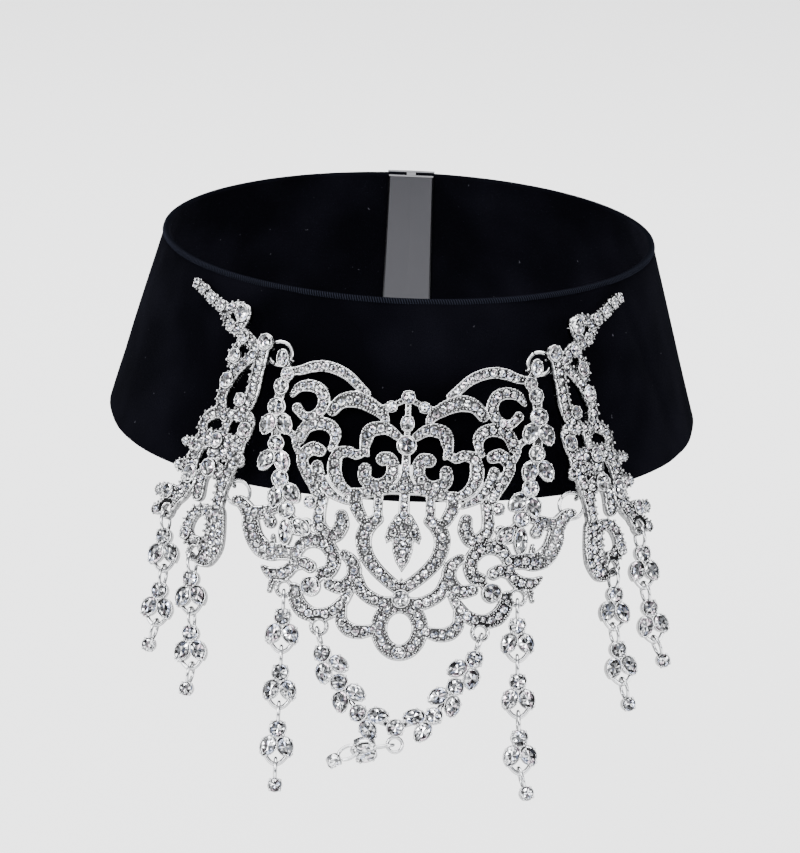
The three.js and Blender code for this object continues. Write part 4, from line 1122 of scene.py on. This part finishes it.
def velvet_material(name, colour):
    made, nodes, links, shader = clear_nodes(name)
    shader.inputs["Roughness"].default_value = 1.0
    shader.inputs["Specular IOR Level"].default_value = 0.0
    shader.inputs["Sheen Weight"].default_value = 0.012
    shader.inputs["Sheen Roughness"].default_value = 0.4
    shader.inputs["Sheen Tint"].default_value = (0.35, 0.37, 0.45, 1.0)
    bump_into(nodes, links, shader, scale=2600.0, strength=0.5, distance=0.0004, detail=3.0)
    brushed = tuple(BRUSHED * part for part in colour)
    nap = noise_ramp(nodes, links, scale=38.0, positions=(0.42, 0.66), colours=(colour, brushed))
    lint = noise_ramp(nodes, links, scale=700.0, positions=(0.755, 0.80), colours=(NO_LINT, LINT))
    both = nodes.new("ShaderNodeMix")
    both.data_type = "RGBA"
    both.blend_type = "LIGHTEN"
    both.inputs["Factor"].default_value = 1.0
    links.new(nap, both.inputs["A"])
    links.new(lint, both.inputs["B"])
    links.new(both.outputs["Result"], shader.inputs["Base Color"])
    return made


def thread_material(name, colour):
    made, nodes, links, shader = clear_nodes(name)
    shader.inputs["Roughness"].default_value = 1.0
    shader.inputs["Specular IOR Level"].default_value = 0.0
    tone_into(nodes, links, shader, colour)
    return made


def plain_material(name, colour, roughness):
    made, _, _, shader = clear_nodes(name)
    shader.inputs["Base Color"].default_value = (*colour, 1.0)
    shader.inputs["Roughness"].default_value = roughness
    return made


def material(name, build, *values):
    return bpy.data.materials.get(name) or build(name, *values)


def alloy():
    looks = bpy.context.scene.bib_looks
    return material("plated_alloy", metal_material, tuple(looks.alloy_colour), looks.alloy_roughness)


def crystal():
    looks = bpy.context.scene.bib_looks
    return material("clear_crystal", crystal_material, tuple(looks.crystal_colour), looks.crystal_roughness)


def finish_piece(bag, name, finish, smooth, nodes=()):
    # Alloy pieces get painted shade on their flanks
    thing = bag.to_object(name, finish, smooth, shade=finish.name == "plated_alloy")
    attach(thing, "root")
    if nodes:
        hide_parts(*nodes)
    return thing


# Pieces. The band's face lies a little inside its solid, with soft creases and ripples round the neck
BAND_SKIN, BAND_INSET, CREASE_FADE = 0.04, 0.12, 90
CREASES = [
    dict(around=0.95, slant=0.004, deep=0.35, wide=0.035),
    dict(around=-1.35, slant=-0.006, deep=0.25, wide=0.04),
]
RIPPLES = [dict(high=0.10, waves=9, slant=0.09), dict(high=0.07, waves=23, slant=-0.05)]


def crease_depth(row, around, down):
    return row["deep"] * np.exp(-((around - row["around"] - row["slant"] * down) / row["wide"]) ** 2)


def ripple_height(row, around, down):
    return row["high"] * np.sin(around * row["waves"] + down * row["slant"])


def band_section(fold):
    """Down and out round the ribbon's section: its face, lower fold, back and upper fold."""
    face = np.linspace(fold, BAND_HEIGHT - fold, BAND_ROWS)
    arc = np.linspace(0, math.pi, FOLD_STEPS)[1:-1]
    middle = -BAND_WALL / 2
    half = BAND_WALL / 2 - BAND_SKIN
    section = [(d, -BAND_SKIN) for d in face]
    section += [(BAND_HEIGHT - fold + fold * math.sin(a), middle + half * math.cos(a)) for a in arc]
    section += [(d, -BAND_WALL + BAND_SKIN) for d in face[::-1]]
    section += [(fold - fold * math.sin(a), middle - half * math.cos(a)) for a in arc]
    return np.array(section)


def velvet_band():
    section = band_section(bpy.context.scene.bib_sizes.band_fold * PER_METRE)
    reach = math.pi - CLASP_GAP / 2 / NECK_RADIUS
    around = np.linspace(-reach, reach, BAND_STEPS)
    down, out = section[:, 0], section[:, 1]
    grid_around, grid_down = np.meshgrid(around, down, indexing="ij")
    grid_out = np.repeat(out[None], len(around), 0)
    crease = sum(crease_depth(row, grid_around, grid_down) for row in CREASES)
    ripple = sum(ripple_height(row, grid_around, grid_down) for row in RIPPLES)
    grid_out = grid_out - crease * (1 - grid_down / CREASE_FADE) - BAND_INSET + ripple
    points = band_point(grid_around, grid_down, grid_out)
    bag = Bag()
    count = len(section)
    faces = grid_faces(len(around), count, closed_columns=True)
    points = points.reshape(-1, 3)
    for start, flip in ((0, 1), ((len(around) - 1) * count, -1)):
        ends = start + np.arange(count)
        centre = len(points)
        points = np.concatenate([points, points[ends].mean(0)[None]])
        cap = np.stack([np.full(count, centre), np.roll(ends, -1), ends], 1)[:, ::flip]
        faces = np.concatenate([faces, cap])
    bag.add(points, faces, 1.0)
    looks = bpy.context.scene.bib_looks
    finish = material("black_velvet", velvet_material, tuple(looks.velvet_colour))
    finish_piece(bag, "velvet", finish, True, ["velvet_band"])


# Rows of the ribbed edge from its back over the fold: down from its top or foot, out, and lifted by ribs
SELVEDGE_ROWS = [
    dict(at_foot=False, down=-0.05, out=-0.9, lifted=0.0),
    dict(at_foot=False, down=-0.12, out=-0.3, lifted=0.0),
    dict(at_foot=False, down=0.25, out=0.12, lifted=1.0),
    dict(at_foot=True, down=-0.35, out=0.14, lifted=1.0),
    dict(at_foot=True, down=0.0, out=-0.05, lifted=0.2),
]
RIB_LIFTS, RIB_CREST, RIB_SLANT = (0.0, 0.13, 0.2, 0.13), 2, 0.35
RIB_TONE, GROOVE_TONE, FOLD_TONE, SELVEDGE_END = 1.0, 0.1, 0.12, 0.01


def selvedge():
    """The ribbed woven edge of the ribbon that shows along its top."""
    sizes = bpy.context.scene.bib_sizes
    tall, pitch = sizes.selvedge_tall * PER_METRE, sizes.selvedge_pitch * PER_METRE
    reach = math.pi - CLASP_GAP / 2 / NECK_RADIUS - SELVEDGE_END
    ribs = int(2 * reach * NECK_RADIUS / pitch)
    around = np.linspace(-reach, reach, ribs * len(RIB_LIFTS) + 1)
    phase = np.arange(len(around)) % len(RIB_LIFTS)
    lift = np.array(RIB_LIFTS)[phase]
    ribbed = np.where(phase == RIB_CREST, RIB_TONE, GROOVE_TONE)
    points, tones = [], []
    for row in SELVEDGE_ROWS:
        down = row["down"] + (tall if row["at_foot"] else 0)
        slant = (down - SELVEDGE_ROWS[0]["down"]) * RIB_SLANT / NECK_RADIUS
        out = row["out"] - BAND_INSET + lift * row["lifted"]
        points.append(band_point(around + slant, np.full(len(around), down), out))
        tones.append(ribbed if row["lifted"] else np.full(len(around), FOLD_TONE))
    bag = Bag()
    faces = grid_faces(len(SELVEDGE_ROWS), len(around))
    tones = np.concatenate(tones)
    bag.add(np.concatenate(points), faces, tones[faces][:, :, None])
    looks = bpy.context.scene.bib_looks
    finish = material("selvedge_thread", thread_material, tuple(looks.thread_colour))
    finish_piece(bag, "selvedge", finish, True)


CLASP_BEVEL, CLASP_DULL = 0.3, 2.5


def band_clasp():
    inner = -BAND_WALL - PIECE_GAP
    web = CLASP_GAP / 2 - PIECE_GAP
    outer = PIECE_GAP + CLASP_WALL
    flat = CLASP_REACH - CLASP_BEVEL
    half = [
        (0, outer), (flat, outer), (CLASP_REACH, outer - CLASP_BEVEL), (CLASP_REACH, PIECE_GAP),
        (web, PIECE_GAP), (web, inner), (CLASP_REACH, inner),
        (CLASP_REACH, inner - CLASP_WALL + CLASP_BEVEL), (flat, inner - CLASP_WALL), (0, inner - CLASP_WALL),
    ]
    section = np.array(half + [(-x, y) for x, y in half[::-1][1:-1]])
    down = np.linspace(0, BAND_HEIGHT, CLASP_ROWS)
    around = math.pi + section[:, 0] / NECK_RADIUS
    points = np.concatenate([band_point(around, np.full(len(section), d), section[:, 1]) for d in down])
    faces = grid_faces(len(down), len(section), closed_columns=True)
    bag = Bag()
    bag.add(points, faces, 1.0)
    for d, flip in ((0.0, 1), (BAND_HEIGHT, -1)):
        quads = [
            (-CLASP_REACH, CLASP_REACH, PIECE_GAP, outer), (-web, web, inner, PIECE_GAP),
            (-CLASP_REACH, CLASP_REACH, inner - CLASP_WALL, inner),
        ]
        for x0, x1, y0, y1 in quads:
            square = np.array([(x0, y0), (x1, y0), (x1, y1), (x0, y1)])
            cap = band_point(math.pi + square[:, 0] / NECK_RADIUS, np.full(4, d), square[:, 1])
            bag.add(cap, np.array([[0, 1, 2], [0, 2, 3]])[:, ::flip], 1.0)
    looks = bpy.context.scene.bib_looks
    dull = looks.alloy_roughness * CLASP_DULL
    # The clasp's colour is painted near black as shade, in place of a bright nickel reflection
    finish = material("clasp_nickel", metal_material, tuple(looks.clasp_shaded_colour), dull)
    finish_piece(bag, "clasp", finish, False, ["band_clasp"])


# Shares of a leaf that the casting carries and keeps clear, and room kept round stones and eyelets
LEAF_INK_WIDE, LEAF_INK_LONG, LEAF_BLOCK, STONE_BLOCK, EYELET_BLOCK = 0.44, 0.46, 0.48, 0.12, 0.1


def ink_leaves(field, place, heading):
    for turned in leaf_places(place, heading):
        centre = turned[:3, 3]
        turn = math.atan2(turned[2, 0], turned[0, 0])
        field.oval(centre[0], centre[2], LEAF_WIDE * LEAF_INK_WIDE, LEAF_LONG * LEAF_INK_LONG, turn)


def ink_stones(field, placed_stones):
    """Inks each main stone, and gives the rounds that they take."""
    blocked = []
    for row, side, x, z in placed_stones:
        half = share(row["size"], STONE_WIDE) / 2
        long = share(row["tall"], half)
        field.oval(x, z, half, long, side * math.radians(row["turn"]))
        blocked.append((x, z, (half + long) / 2 + STONE_BLOCK))
    return blocked


def ink_eyelets(field, rows, sides, half, tall):
    """Inks each eyelet and bores its hole, and gives the rounds that they take."""
    blocked = []
    reach = EYELET_HOLE + EYELET_WIRE / 2
    for row in rows:
        for side in sides:
            x, _, z = flat_place(row, side, 0, half, tall)
            field.ink(*hoop(x, z, reach, reach, EYELET_WIRE))
            field.bore(x, z, EYELET_HOLE)
            blocked.append((x, z, EYELET_HOLE + EYELET_WIRE + EYELET_BLOCK))
    return blocked


def plate_strokes(rows, half, tall, sides):
    return [stroke(row, side, half, tall) for side in sides for row in rows]


def stone_rows(rows, sides, half, tall):
    return [(row, side, *flat_place(row, side, 0, half, tall)[::2]) for side in sides for row in rows]


# Fine work starts this share into the rim, beads are this share of the smallest stone, and prongs vary in
# sink, size and painted brightness that stands for their reflections
RIM_SHARE, BEAD_SHARE, PRONG_PITCH = 0.75, 0.55, 1.5
PRONG_SINK, PRONG_RADIUS, PRONG_BRIGHT = (0.0, 0.25), (0.24, 0.4), (0.2, 1.0)


def build_casting(name, node, field, strokes, stones_at, change, extra_metal, extra_stones, prongs=0.0):
    sizes = bpy.context.scene.bib_sizes
    rim, channel = sizes.rim_wide * PER_METRE, sizes.channel_depth * PER_METRE
    body = Bag()
    casting(body, field, rim, channel)
    body.place(change)
    smallest, largest = sizes.pave_smallest * PER_METRE / 2, sizes.pave_largest * PER_METRE / 2
    start = rim * RIM_SHARE
    packing = Packing(field, start, stones_at)
    for centres, radii in strokes:
        for x, z, radius in row_along(centres, radii, start, smallest * 2, largest * 2):
            packing.offer(x, z, radius, smallest)
    packing.fill(smallest, largest)
    packing.fill(sizes.bead_smallest * PER_METRE / 2, smallest * BEAD_SHARE)
    flat_stones, flat_metal = Bag(), Bag()
    set_pave(flat_stones, flat_metal, packing.rounds, smallest, CAST_THICK / 2 - channel)
    if prongs:
        for x, z in edge_prongs(field, strokes, prongs):
            place = (x, CAST_THICK / 2 - DICE.uniform(*PRONG_SINK), z)
            # Each prong's brightness is painted at random as its reflection
            bead(flat_metal, place, DICE.uniform(*PRONG_RADIUS), colour=DICE.uniform(*PRONG_BRIGHT))
    fine, beads = Bag(), Bag()
    fine.extend(flat_stones, change)
    beads.extend(flat_metal, change)
    finish_piece(body, f"{name}_casting", alloy(), True, [node])
    finish_piece(fine, f"{name}_pave", crystal(), False)
    finish_piece(beads, f"{name}_beads", alloy(), True)
    finish_piece(extra_stones, f"{name}_stones", crystal(), False)
    finish_piece(extra_metal, f"{name}_settings", alloy(), True)


def ring_eye(bag, ring, hand):
    made, radius = ring
    reach = (RING_WIRE / 2 + PIECE_GAP) / math.cos(math.pi / LUG_SIDES) + EYE_WIRE / 2
    angle = np.linspace(0, 2 * math.pi, EYE_STEPS, endpoint=False)
    path = np.stack([hand * radius + reach * np.cos(angle), np.zeros(EYE_STEPS), reach * np.sin(angle)], 1)
    local = Bag()
    tube(local, path, EYE_WIRE / 2, closed=True)
    bag.extend(local, lambda p: placed(made, p))


# Corners of the grids that the castings are drawn on, as across and up
CENTRE_GRID = ((-41, -70), (41, 4.5))
SIDE_GRIDS = {"left": ((-36, -53), (6, 17)), "right": ((-6, -53), (36, 17))}


def centre_plate():
    step = bpy.context.scene.bib_sizes.field_step * PER_METRE
    field = Field(*CENTRE_GRID, step)
    both = (-1, 1)
    strokes = plate_strokes(CENTRE_SCROLLS, PLATE_HALF, PLATE_TALL, both)
    strokes += plate_strokes(AXIS_SCROLLS, PLATE_HALF, PLATE_TALL, (1,))
    ring = hoop(0, -share(BOTTOM_RING["down"], PLATE_TALL), share(BOTTOM_RING["half"], PLATE_HALF),
                share(BOTTOM_RING["tall"], PLATE_TALL), share(BOTTOM_RING["wide"], SCROLL_WIDE))
    strokes.append(ring)
    for centres, radii in strokes:
        field.ink(centres, radii)
    for row in CENTRE_LEAVES:
        right = [(share(a, PLATE_HALF), -share(d, PLATE_TALL)) for a, d in zip(row["across"], row["down"])]
        field.polygon(right + [(-x, z) for x, z in right[1:-1][::-1]])
    placed_stones = stone_rows(CENTRE_STONES + FINE_CENTRE_STONES, both, PLATE_HALF, PLATE_TALL)
    placed_stones += stone_rows(AXIS_STONES, (1,), PLATE_HALF, PLATE_TALL)
    blocked = ink_stones(field, placed_stones)
    for row in CENTRE_PAIRS:
        for side in both:
            place = flat_place(row, side, 0, PLATE_HALF, PLATE_TALL)
            heading = -side * math.radians(row["heading"])
            ink_leaves(field, place, heading)
            blocked += [(m[0, 3], m[2, 3], LEAF_LONG * LEAF_BLOCK) for m in leaf_places(place, heading)]
    blocked += ink_eyelets(field, (DROP_EYELET, SWAG_EYELET), both, PLATE_HALF, PLATE_TALL)

    def change(points):
        return placed(CENTRE_FRAME, bent(points, PLATE_BEND))

    stones, metal = Bag(), Bag()
    for row, side, _, _ in placed_stones:
        set_stone(stones, metal, row, side, PLATE_HALF, PLATE_TALL, change)
    for row in CENTRE_PAIRS:
        for side in both:
            place = flat_place(row, side, 0, PLATE_HALF, PLATE_TALL)
            set_leaves(stones, metal, place, -side * math.radians(row["heading"]), CUP_BACK, False, change)
    for pair in RINGS.values():
        ring_eye(metal, pair["upper"], -1)
        ring_eye(metal, pair["lower"], -1)
    extra = [stroke_down_leaf(row) for row in CENTRE_LEAVES[:1]]
    build_casting("bib", "center_plate", field, strokes + extra, blocked, change, metal, stones)


# Steps down a leaf, and how many of its corners make its upper lobe
LEAF_STEPS, LEAF_LOBE = 40, 5


def stroke_down_leaf(row):
    """The middle line of a leaf and its half width along it, upper lobe first."""
    first, last = row["down"][1], row["down"][-2]
    t = np.linspace(0, 1, LEAF_STEPS)
    down = first + (last - first) * t
    upper = np.interp(down, row["down"][:LEAF_LOBE], row["across"][:LEAF_LOBE])
    lower = np.interp(down, row["down"][LEAF_LOBE:], row["across"][LEAF_LOBE:])
    wide = np.where(down > row["down"][LEAF_LOBE - 1], lower, upper)
    return np.stack([np.zeros(LEAF_STEPS), -down * PLATE_TALL / 100], 1), wide * PLATE_HALF / 100


def side_plates():
    step = bpy.context.scene.bib_sizes.field_step * PER_METRE
    for hand, side in SIDES.items():
        field = Field(*SIDE_GRIDS[hand], step)
        strokes = plate_strokes(SIDE_SCROLLS, SIDE_WIDE, SIDE_TALL, (side,))
        for centres, radii in strokes:
            field.ink(centres, radii)
        rows = stone_rows(SIDE_STONES + FINE_SIDE_STONES, (side,), SIDE_WIDE, SIDE_TALL)
        blocked = ink_stones(field, rows)
        blocked += ink_eyelets(field, (INNER_EYELET, OUTER_EYELET), (side,), SIDE_WIDE, SIDE_TALL)
        frame_of = SIDE_FRAMES[hand]

        def change(points, frame_of=frame_of):
            return placed(frame_of, bent(points, SIDE_BEND))

        stones, metal = Bag(), Bag()
        for row, _, _, _ in rows:
            set_stone(stones, metal, row, side, SIDE_WIDE, SIDE_TALL, change)
        ring_eye(metal, RINGS[hand]["upper"], 1)
        ring_eye(metal, RINGS[hand]["lower"], 1)
        strand_stud(metal, side, frame_of)
        name, node = f"side_{hand}", f"side_plate_{hand}"
        build_casting(name, node, field, strokes, blocked, change, metal, stones, PRONG_PITCH)


def strand_stud(bag, side, place):
    end = side_place(STRAND_END, side, 0, place)
    around = math.atan2(end[0], -end[1])
    lean = float(lean_at(around))
    inner = band_radius_at(around, end[2]) + PIECE_GAP / math.cos(lean) + STUD_WIDE * math.sin(lean)
    spoke = np.array([math.sin(around), -math.cos(around), 0])
    foot = spoke * inner + (0, 0, end[2])
    tube(bag, np.linspace(foot, end, STUD_STEPS), STUD_WIDE / 2, sides=STUD_SIDES)


# Half of the cut in a jump ring, in radians
RING_CUT = 0.035


def jump_rings():
    for hand in SIDES:
        for level, (made, radius) in RINGS[hand].items():
            start = math.pi / 2 + RING_CUT
            angle = np.linspace(start, start + 2 * (math.pi - RING_CUT), JUMP_RING_STEPS)
            path = np.stack([radius * np.cos(angle), radius * np.sin(angle), np.zeros(JUMP_RING_STEPS)], 1)
            bag, local = Bag(), Bag()
            tube(local, path, RING_WIRE / 2, sides=RING_SIDES)
            bag.extend(local, lambda p: placed(made, p))
            name, node = f"{level}_jump_ring_{hand}", f"{level}_ring_{hand}"
            finish_piece(bag, name, alloy(), True, [node])


def hanging_drops():
    for hand, side in SIDES.items():
        places = {
            "front": (CENTRE_FRAME, hook_place(DROP_EYELET, side, PLATE_HALF, PLATE_TALL, PLATE_BEND)),
            "inner": (SIDE_FRAMES[hand], hook_place(INNER_EYELET, side, SIDE_WIDE, SIDE_TALL, SIDE_BEND)),
            "outer": (SIDE_FRAMES[hand], hook_place(OUTER_EYELET, side, SIDE_WIDE, SIDE_TALL, SIDE_BEND)),
        }
        for which, (place, hook) in places.items():
            name = f"{which}_drop_{hand}"
            hang = DROP_HANG[name]
            stones, metal = Bag(), Bag()
            hang_links(stones, metal, place, hook, hang)
            nodes = [f"{name}_{i + 1}" for i in range(len(hang) - 1)] + [f"{name}_end"]
            finish_piece(metal, f"{name}_metal", alloy(), True, nodes)
            finish_piece(stones, f"{name}_stones", crystal(), False)


# The wire behind the garland's stones
SPINE_OUT, SPINE_RADIUS = -0.2, 0.6


def garland_spine(bag, side, middle, change):
    spine = []
    for row in SWAG_STONES[1:]:
        spine.append((side * share(row["across"], SWAG_HALF), SPINE_OUT, -share(row["down"], SWAG_DEEP)))
    spine.append((0, SPINE_OUT, middle))
    local = Bag()
    tube(local, spine, SPINE_RADIUS)
    bag.extend(local, change)


def garland_eye(bag, eye, level, change):
    angle = np.linspace(0, 2 * math.pi, HANG_EYE_STEPS, endpoint=False)
    path = np.stack([eye * np.cos(angle), np.zeros(HANG_EYE_STEPS), level + eye * np.sin(angle)], 1)
    local = Bag()
    tube(local, path, HANG_EYE_WIRE / 2, closed=True)
    bag.extend(local, change)


def garland():
    top = hook_place(SWAG_EYELET, 0, PLATE_HALF, PLATE_TALL, PLATE_BEND)[2]

    def change(points):
        return placed(CENTRE_FRAME, bent(points, PLATE_BEND) + (0, 0, top))

    stones, metal = Bag(), Bag()
    spots = []
    for side in (-1, 1):
        for row in SWAG_STONES:
            place = (side * share(row["across"], SWAG_HALF), 0, -share(row["down"], SWAG_DEEP))
            spots.append((place, -side * math.radians(row["heading"])))
    middle = -share(SWAG_MIDDLE["down"], SWAG_DEEP)
    for place, heading in spots:
        around = shifted(place)
        link_stone(stones, metal, STONE_WIDE, lambda p: change(face_out(placed(around, p))))
        set_leaves(stones, metal, place, heading, -CAST_THICK / 2, True, change)
    around = shifted((0, 0, middle))
    link_stone(stones, metal, STONE_WIDE, lambda p: change(face_out(placed(around, p))))
    for side in (-1, 1):
        garland_spine(metal, side, middle, change)
        swag_loop(metal, side, change)
    eye = HANG_EYE_HOLE + HANG_EYE_WIRE / 2
    level = middle - STONE_WIDE / 2 - eye
    garland_eye(metal, eye, level, change)
    finish_piece(metal, "garland_metal", alloy(), True, ["swag"])
    finish_piece(stones, "garland_stones", crystal(), False)
    turn = math.radians(PENDANT_HANG[0][0])
    hook = np.array([-math.sin(turn) * eye, 0, -math.cos(turn) * eye + top + level])
    stones, metal = Bag(), Bag()
    hang_links(stones, metal, CENTRE_FRAME, hook, PENDANT_HANG, "short")
    finish_piece(metal, "pendant_metal", alloy(), True, ["swag_pendant_1", "swag_pendant_end"])
    finish_piece(stones, "pendant_stones", crystal(), False)


def swag_loop(bag, side, change):
    start = SWAG_STONES[0]
    x = side * share(start["across"], SWAG_HALF)
    z = -share(start["down"], SWAG_DEEP)
    turn = math.atan2(side * share(SWAG_EYELET["across"], PLATE_HALF) - x, -z)
    turned = shifted((x, 0, z)) @ rotation("Y", turn)
    wire_loop(bag, 0.0, LOOP_REACH, STONE_WIDE / 2 - LOOP_WIRE, lambda p: change(placed(turned, p)))


# The stage, in metres and watts
LAMPS = [
    dict(name="soft", place=(0.0, -1.05, 0.8), size=0.9, power=7.0),
    dict(name="key", place=(-0.6, -0.8, 0.6), size=0.35, power=7.0),
    dict(name="fill", place=(0.85, -0.7, 0.3), size=0.4, power=5.0),
    dict(name="back", place=(0.1, 0.8, 0.7), size=0.7, power=6.0),
    dict(name="left", place=(-1.2, -0.2, 0.2), size=0.5, power=6.0),
    dict(name="overhead", place=(0.0, 0.8, 2.4), size=3.2, power=230.0),
]
LAMP_TARGET, SKY = (0, -0.05, -0.03), (0.93, 0.95, 1.0, 1.0)
FLOOR_WIDE, FLOOR_DROP, FLOOR_ROUGHNESS = 12, 0.12, 0.9
CAMERA_ELEVATION, CAMERA_ROLL, CAMERA_REACH = 18.0, 2.3, 0.9
CAMERA_TARGET, CAMERA_LENS, CAMERA_SENSOR = (-0.0003, 0, -0.0285), 151.9, 36.0
CAMERA_NEAR, CAMERA_FAR = 0.01, 20.0


def floor_plane():
    looks = bpy.context.scene.bib_looks
    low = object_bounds()[0][2]
    bpy.ops.mesh.primitive_plane_add(size=FLOOR_WIDE, location=(0, 0, low - FLOOR_DROP))
    floor = bpy.context.object
    floor.name = "floor"
    finish = material("pale_floor", plain_material, tuple(looks.floor_colour), FLOOR_ROUGHNESS)
    floor.data.materials.append(finish)
    floor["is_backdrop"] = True


def area_lamp(row):
    light = bpy.data.lights.new(row["name"], "AREA")
    light.size, light.energy = row["size"], row["power"]
    lamp = bpy.data.objects.new(row["name"], light)
    lamp.location = row["place"]
    lamp.rotation_mode = "QUATERNION"
    lamp.rotation_quaternion = (Vector(LAMP_TARGET) - Vector(row["place"])).to_track_quat("-Z", "Y")
    bpy.context.scene.collection.objects.link(lamp)
    lamp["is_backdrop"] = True


def studio_world():
    world = bpy.data.worlds.new("studio")
    world.use_nodes = True
    background = world.node_tree.nodes["Background"]
    background.inputs["Color"].default_value = SKY
    background.inputs["Strength"].default_value = bpy.context.scene.bib_looks.world_strength
    bpy.context.scene.world = world


def studio():
    floor_plane()
    for row in LAMPS:
        area_lamp(row)
    studio_world()
    photo_camera()


def photo_camera():
    elevation, roll = math.radians(CAMERA_ELEVATION), math.radians(CAMERA_ROLL)
    back = np.array([0, -math.cos(elevation), math.sin(elevation)])
    right = np.array([1.0, 0, 0])
    up = np.cross(back, right)
    turned = right * math.cos(roll) + up * math.sin(roll)
    upward = -right * math.sin(roll) + up * math.cos(roll)
    camera = bpy.data.cameras.new("photo_camera")
    camera.sensor_width = CAMERA_SENSOR
    camera.lens = CAMERA_LENS
    camera.clip_start, camera.clip_end = CAMERA_NEAR, CAMERA_FAR
    thing = bpy.data.objects.new("photo_camera", camera)
    place = np.array(CAMERA_TARGET) + back * CAMERA_REACH
    columns = np.stack([turned, upward, back], 1)
    thing.matrix_world = Matrix([[*columns[i], place[i]] for i in range(3)] + [[0, 0, 0, 1]])
    bpy.context.scene.collection.objects.link(thing)
    bpy.context.scene.camera = thing


# The add-on: sizes, colours, one operator for each group of pieces, and a panel
class BibSizes(bpy.types.PropertyGroup):
    band_fold: FloatProperty(
        name="Band fold", description="Radius of the band's folded edges", default=0.0008, unit="LENGTH")
    selvedge_tall: FloatProperty(
        name="Selvedge height", description="Height of the ribbed edge", default=0.0013, unit="LENGTH")
    selvedge_pitch: FloatProperty(
        name="Selvedge pitch", description="Distance between its ribs", default=0.0006, unit="LENGTH")
    rim_wide: FloatProperty(
        name="Rim width", description="Width of a casting's raised rim", default=0.00045, unit="LENGTH")
    channel_depth: FloatProperty(
        name="Channel depth", description="Depth below the rim", default=0.0003, unit="LENGTH")
    field_step: FloatProperty(
        name="Casting step", description="Grid step of the castings", default=0.00025, unit="LENGTH")
    pave_largest: FloatProperty(
        name="Largest fine stone", description="Greatest width", default=0.0019, unit="LENGTH")
    pave_smallest: FloatProperty(
        name="Smallest fine stone", description="Least width", default=0.001, unit="LENGTH")
    bead_smallest: FloatProperty(
        name="Smallest bead", description="Least width of a bead", default=0.00026, unit="LENGTH")


class BibLooks(bpy.types.PropertyGroup):
    alloy_colour: FloatVectorProperty(
        name="Alloy", description="Colour of the plated alloy", default=(0.8, 0.805, 0.82),
        subtype="COLOR", min=0, max=1)
    # Painted shade: the clasp's nickel is coloured near black
    clasp_shaded_colour: FloatVectorProperty(
        name="Clasp", description="Colour of the clasp", default=(0.05, 0.05, 0.055),
        subtype="COLOR", min=0, max=1)
    alloy_roughness: FloatProperty(
        name="Alloy roughness", description="Roughness of the alloy", default=0.14, min=0, max=1)
    crystal_colour: FloatVectorProperty(
        name="Crystal", description="Colour of the stones", default=(0.97, 0.98, 1.0),
        subtype="COLOR", min=0, max=1)
    crystal_roughness: FloatProperty(
        name="Crystal roughness", description="Roughness of the stones", default=0.06, min=0, max=1)
    velvet_colour: FloatVectorProperty(
        name="Velvet", description="Colour of the velvet", default=(0.0014, 0.0014, 0.0022),
        subtype="COLOR", min=0, max=1)
    thread_colour: FloatVectorProperty(
        name="Thread", description="Colour of the ribbed edge", default=(0.018, 0.020, 0.030),
        subtype="COLOR", min=0, max=1)
    floor_colour: FloatVectorProperty(
        name="Floor", description="Colour of the floor", default=(0.96, 0.96, 0.96),
        subtype="COLOR", min=0, max=1)
    world_strength: FloatProperty(
        name="Studio light", description="Strength of the light all round", default=0.4, min=0)


class BIB_OT_build_band(bpy.types.Operator):
    """Builds the velvet band, its ribbed edge and the clasp"""

    bl_idname = "bib.build_band"
    bl_label = "Build band"

    def execute(self, context):
        velvet_band()
        selvedge()
        band_clasp()
        return {"FINISHED"}


class BIB_OT_build_plates(bpy.types.Operator):
    """Builds the pierced bib plate and the two side plates with their stones"""

    bl_idname = "bib.build_plates"
    bl_label = "Build plates"

    def execute(self, context):
        centre_plate()
        side_plates()
        return {"FINISHED"}


class BIB_OT_build_rings(bpy.types.Operator):
    """Builds the four jump rings"""

    bl_idname = "bib.build_rings"
    bl_label = "Build jump rings"

    def execute(self, context):
        jump_rings()
        return {"FINISHED"}


class BIB_OT_build_drops(bpy.types.Operator):
    """Builds the six hanging drops"""

    bl_idname = "bib.build_drops"
    bl_label = "Build drops"

    def execute(self, context):
        hanging_drops()
        return {"FINISHED"}


class BIB_OT_build_garland(bpy.types.Operator):
    """Builds the garland and its pendant"""

    bl_idname = "bib.build_garland"
    bl_label = "Build garland"

    def execute(self, context):
        garland()
        return {"FINISHED"}


class BIB_OT_build_stage(bpy.types.Operator):
    """Builds the floor, the lights and the camera"""

    bl_idname = "bib.build_stage"
    bl_label = "Build stage"

    def execute(self, context):
        studio()
        return {"FINISHED"}


class BIB_PT_panel(bpy.types.Panel):
    """Sizes, colours and build buttons of the necklace"""

    bl_idname = "BIB_PT_panel"
    bl_label = "Bib necklace"
    bl_space_type = "VIEW_3D"
    bl_region_type = "UI"
    bl_category = "Necklace"

    def draw(self, context):
        layout = self.layout
        for group in (context.scene.bib_sizes, context.scene.bib_looks):
            for name in group.__annotations__:
                layout.prop(group, name)
        for operator in OPERATORS:
            layout.operator(operator.bl_idname)


OPERATORS = (
    BIB_OT_build_band, BIB_OT_build_plates, BIB_OT_build_rings, BIB_OT_build_drops, BIB_OT_build_garland,
    BIB_OT_build_stage,
)
CLASSES = (BibSizes, BibLooks, *OPERATORS, BIB_PT_panel)


def register():
    for item in CLASSES:
        bpy.utils.register_class(item)
    bpy.types.Scene.bib_sizes = PointerProperty(type=BibSizes)
    bpy.types.Scene.bib_looks = PointerProperty(type=BibLooks)


def unregister():
    del bpy.types.Scene.bib_looks
    del bpy.types.Scene.bib_sizes
    for item in reversed(CLASSES):
        bpy.utils.unregister_class(item)


def main():
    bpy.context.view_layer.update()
    register()
    bpy.ops.bib.build_band()
    bpy.ops.bib.build_plates()
    bpy.ops.bib.build_rings()
    bpy.ops.bib.build_drops()
    bpy.ops.bib.build_garland()
    bpy.ops.bib.build_stage()


if __name__ == "__main__":
    main()
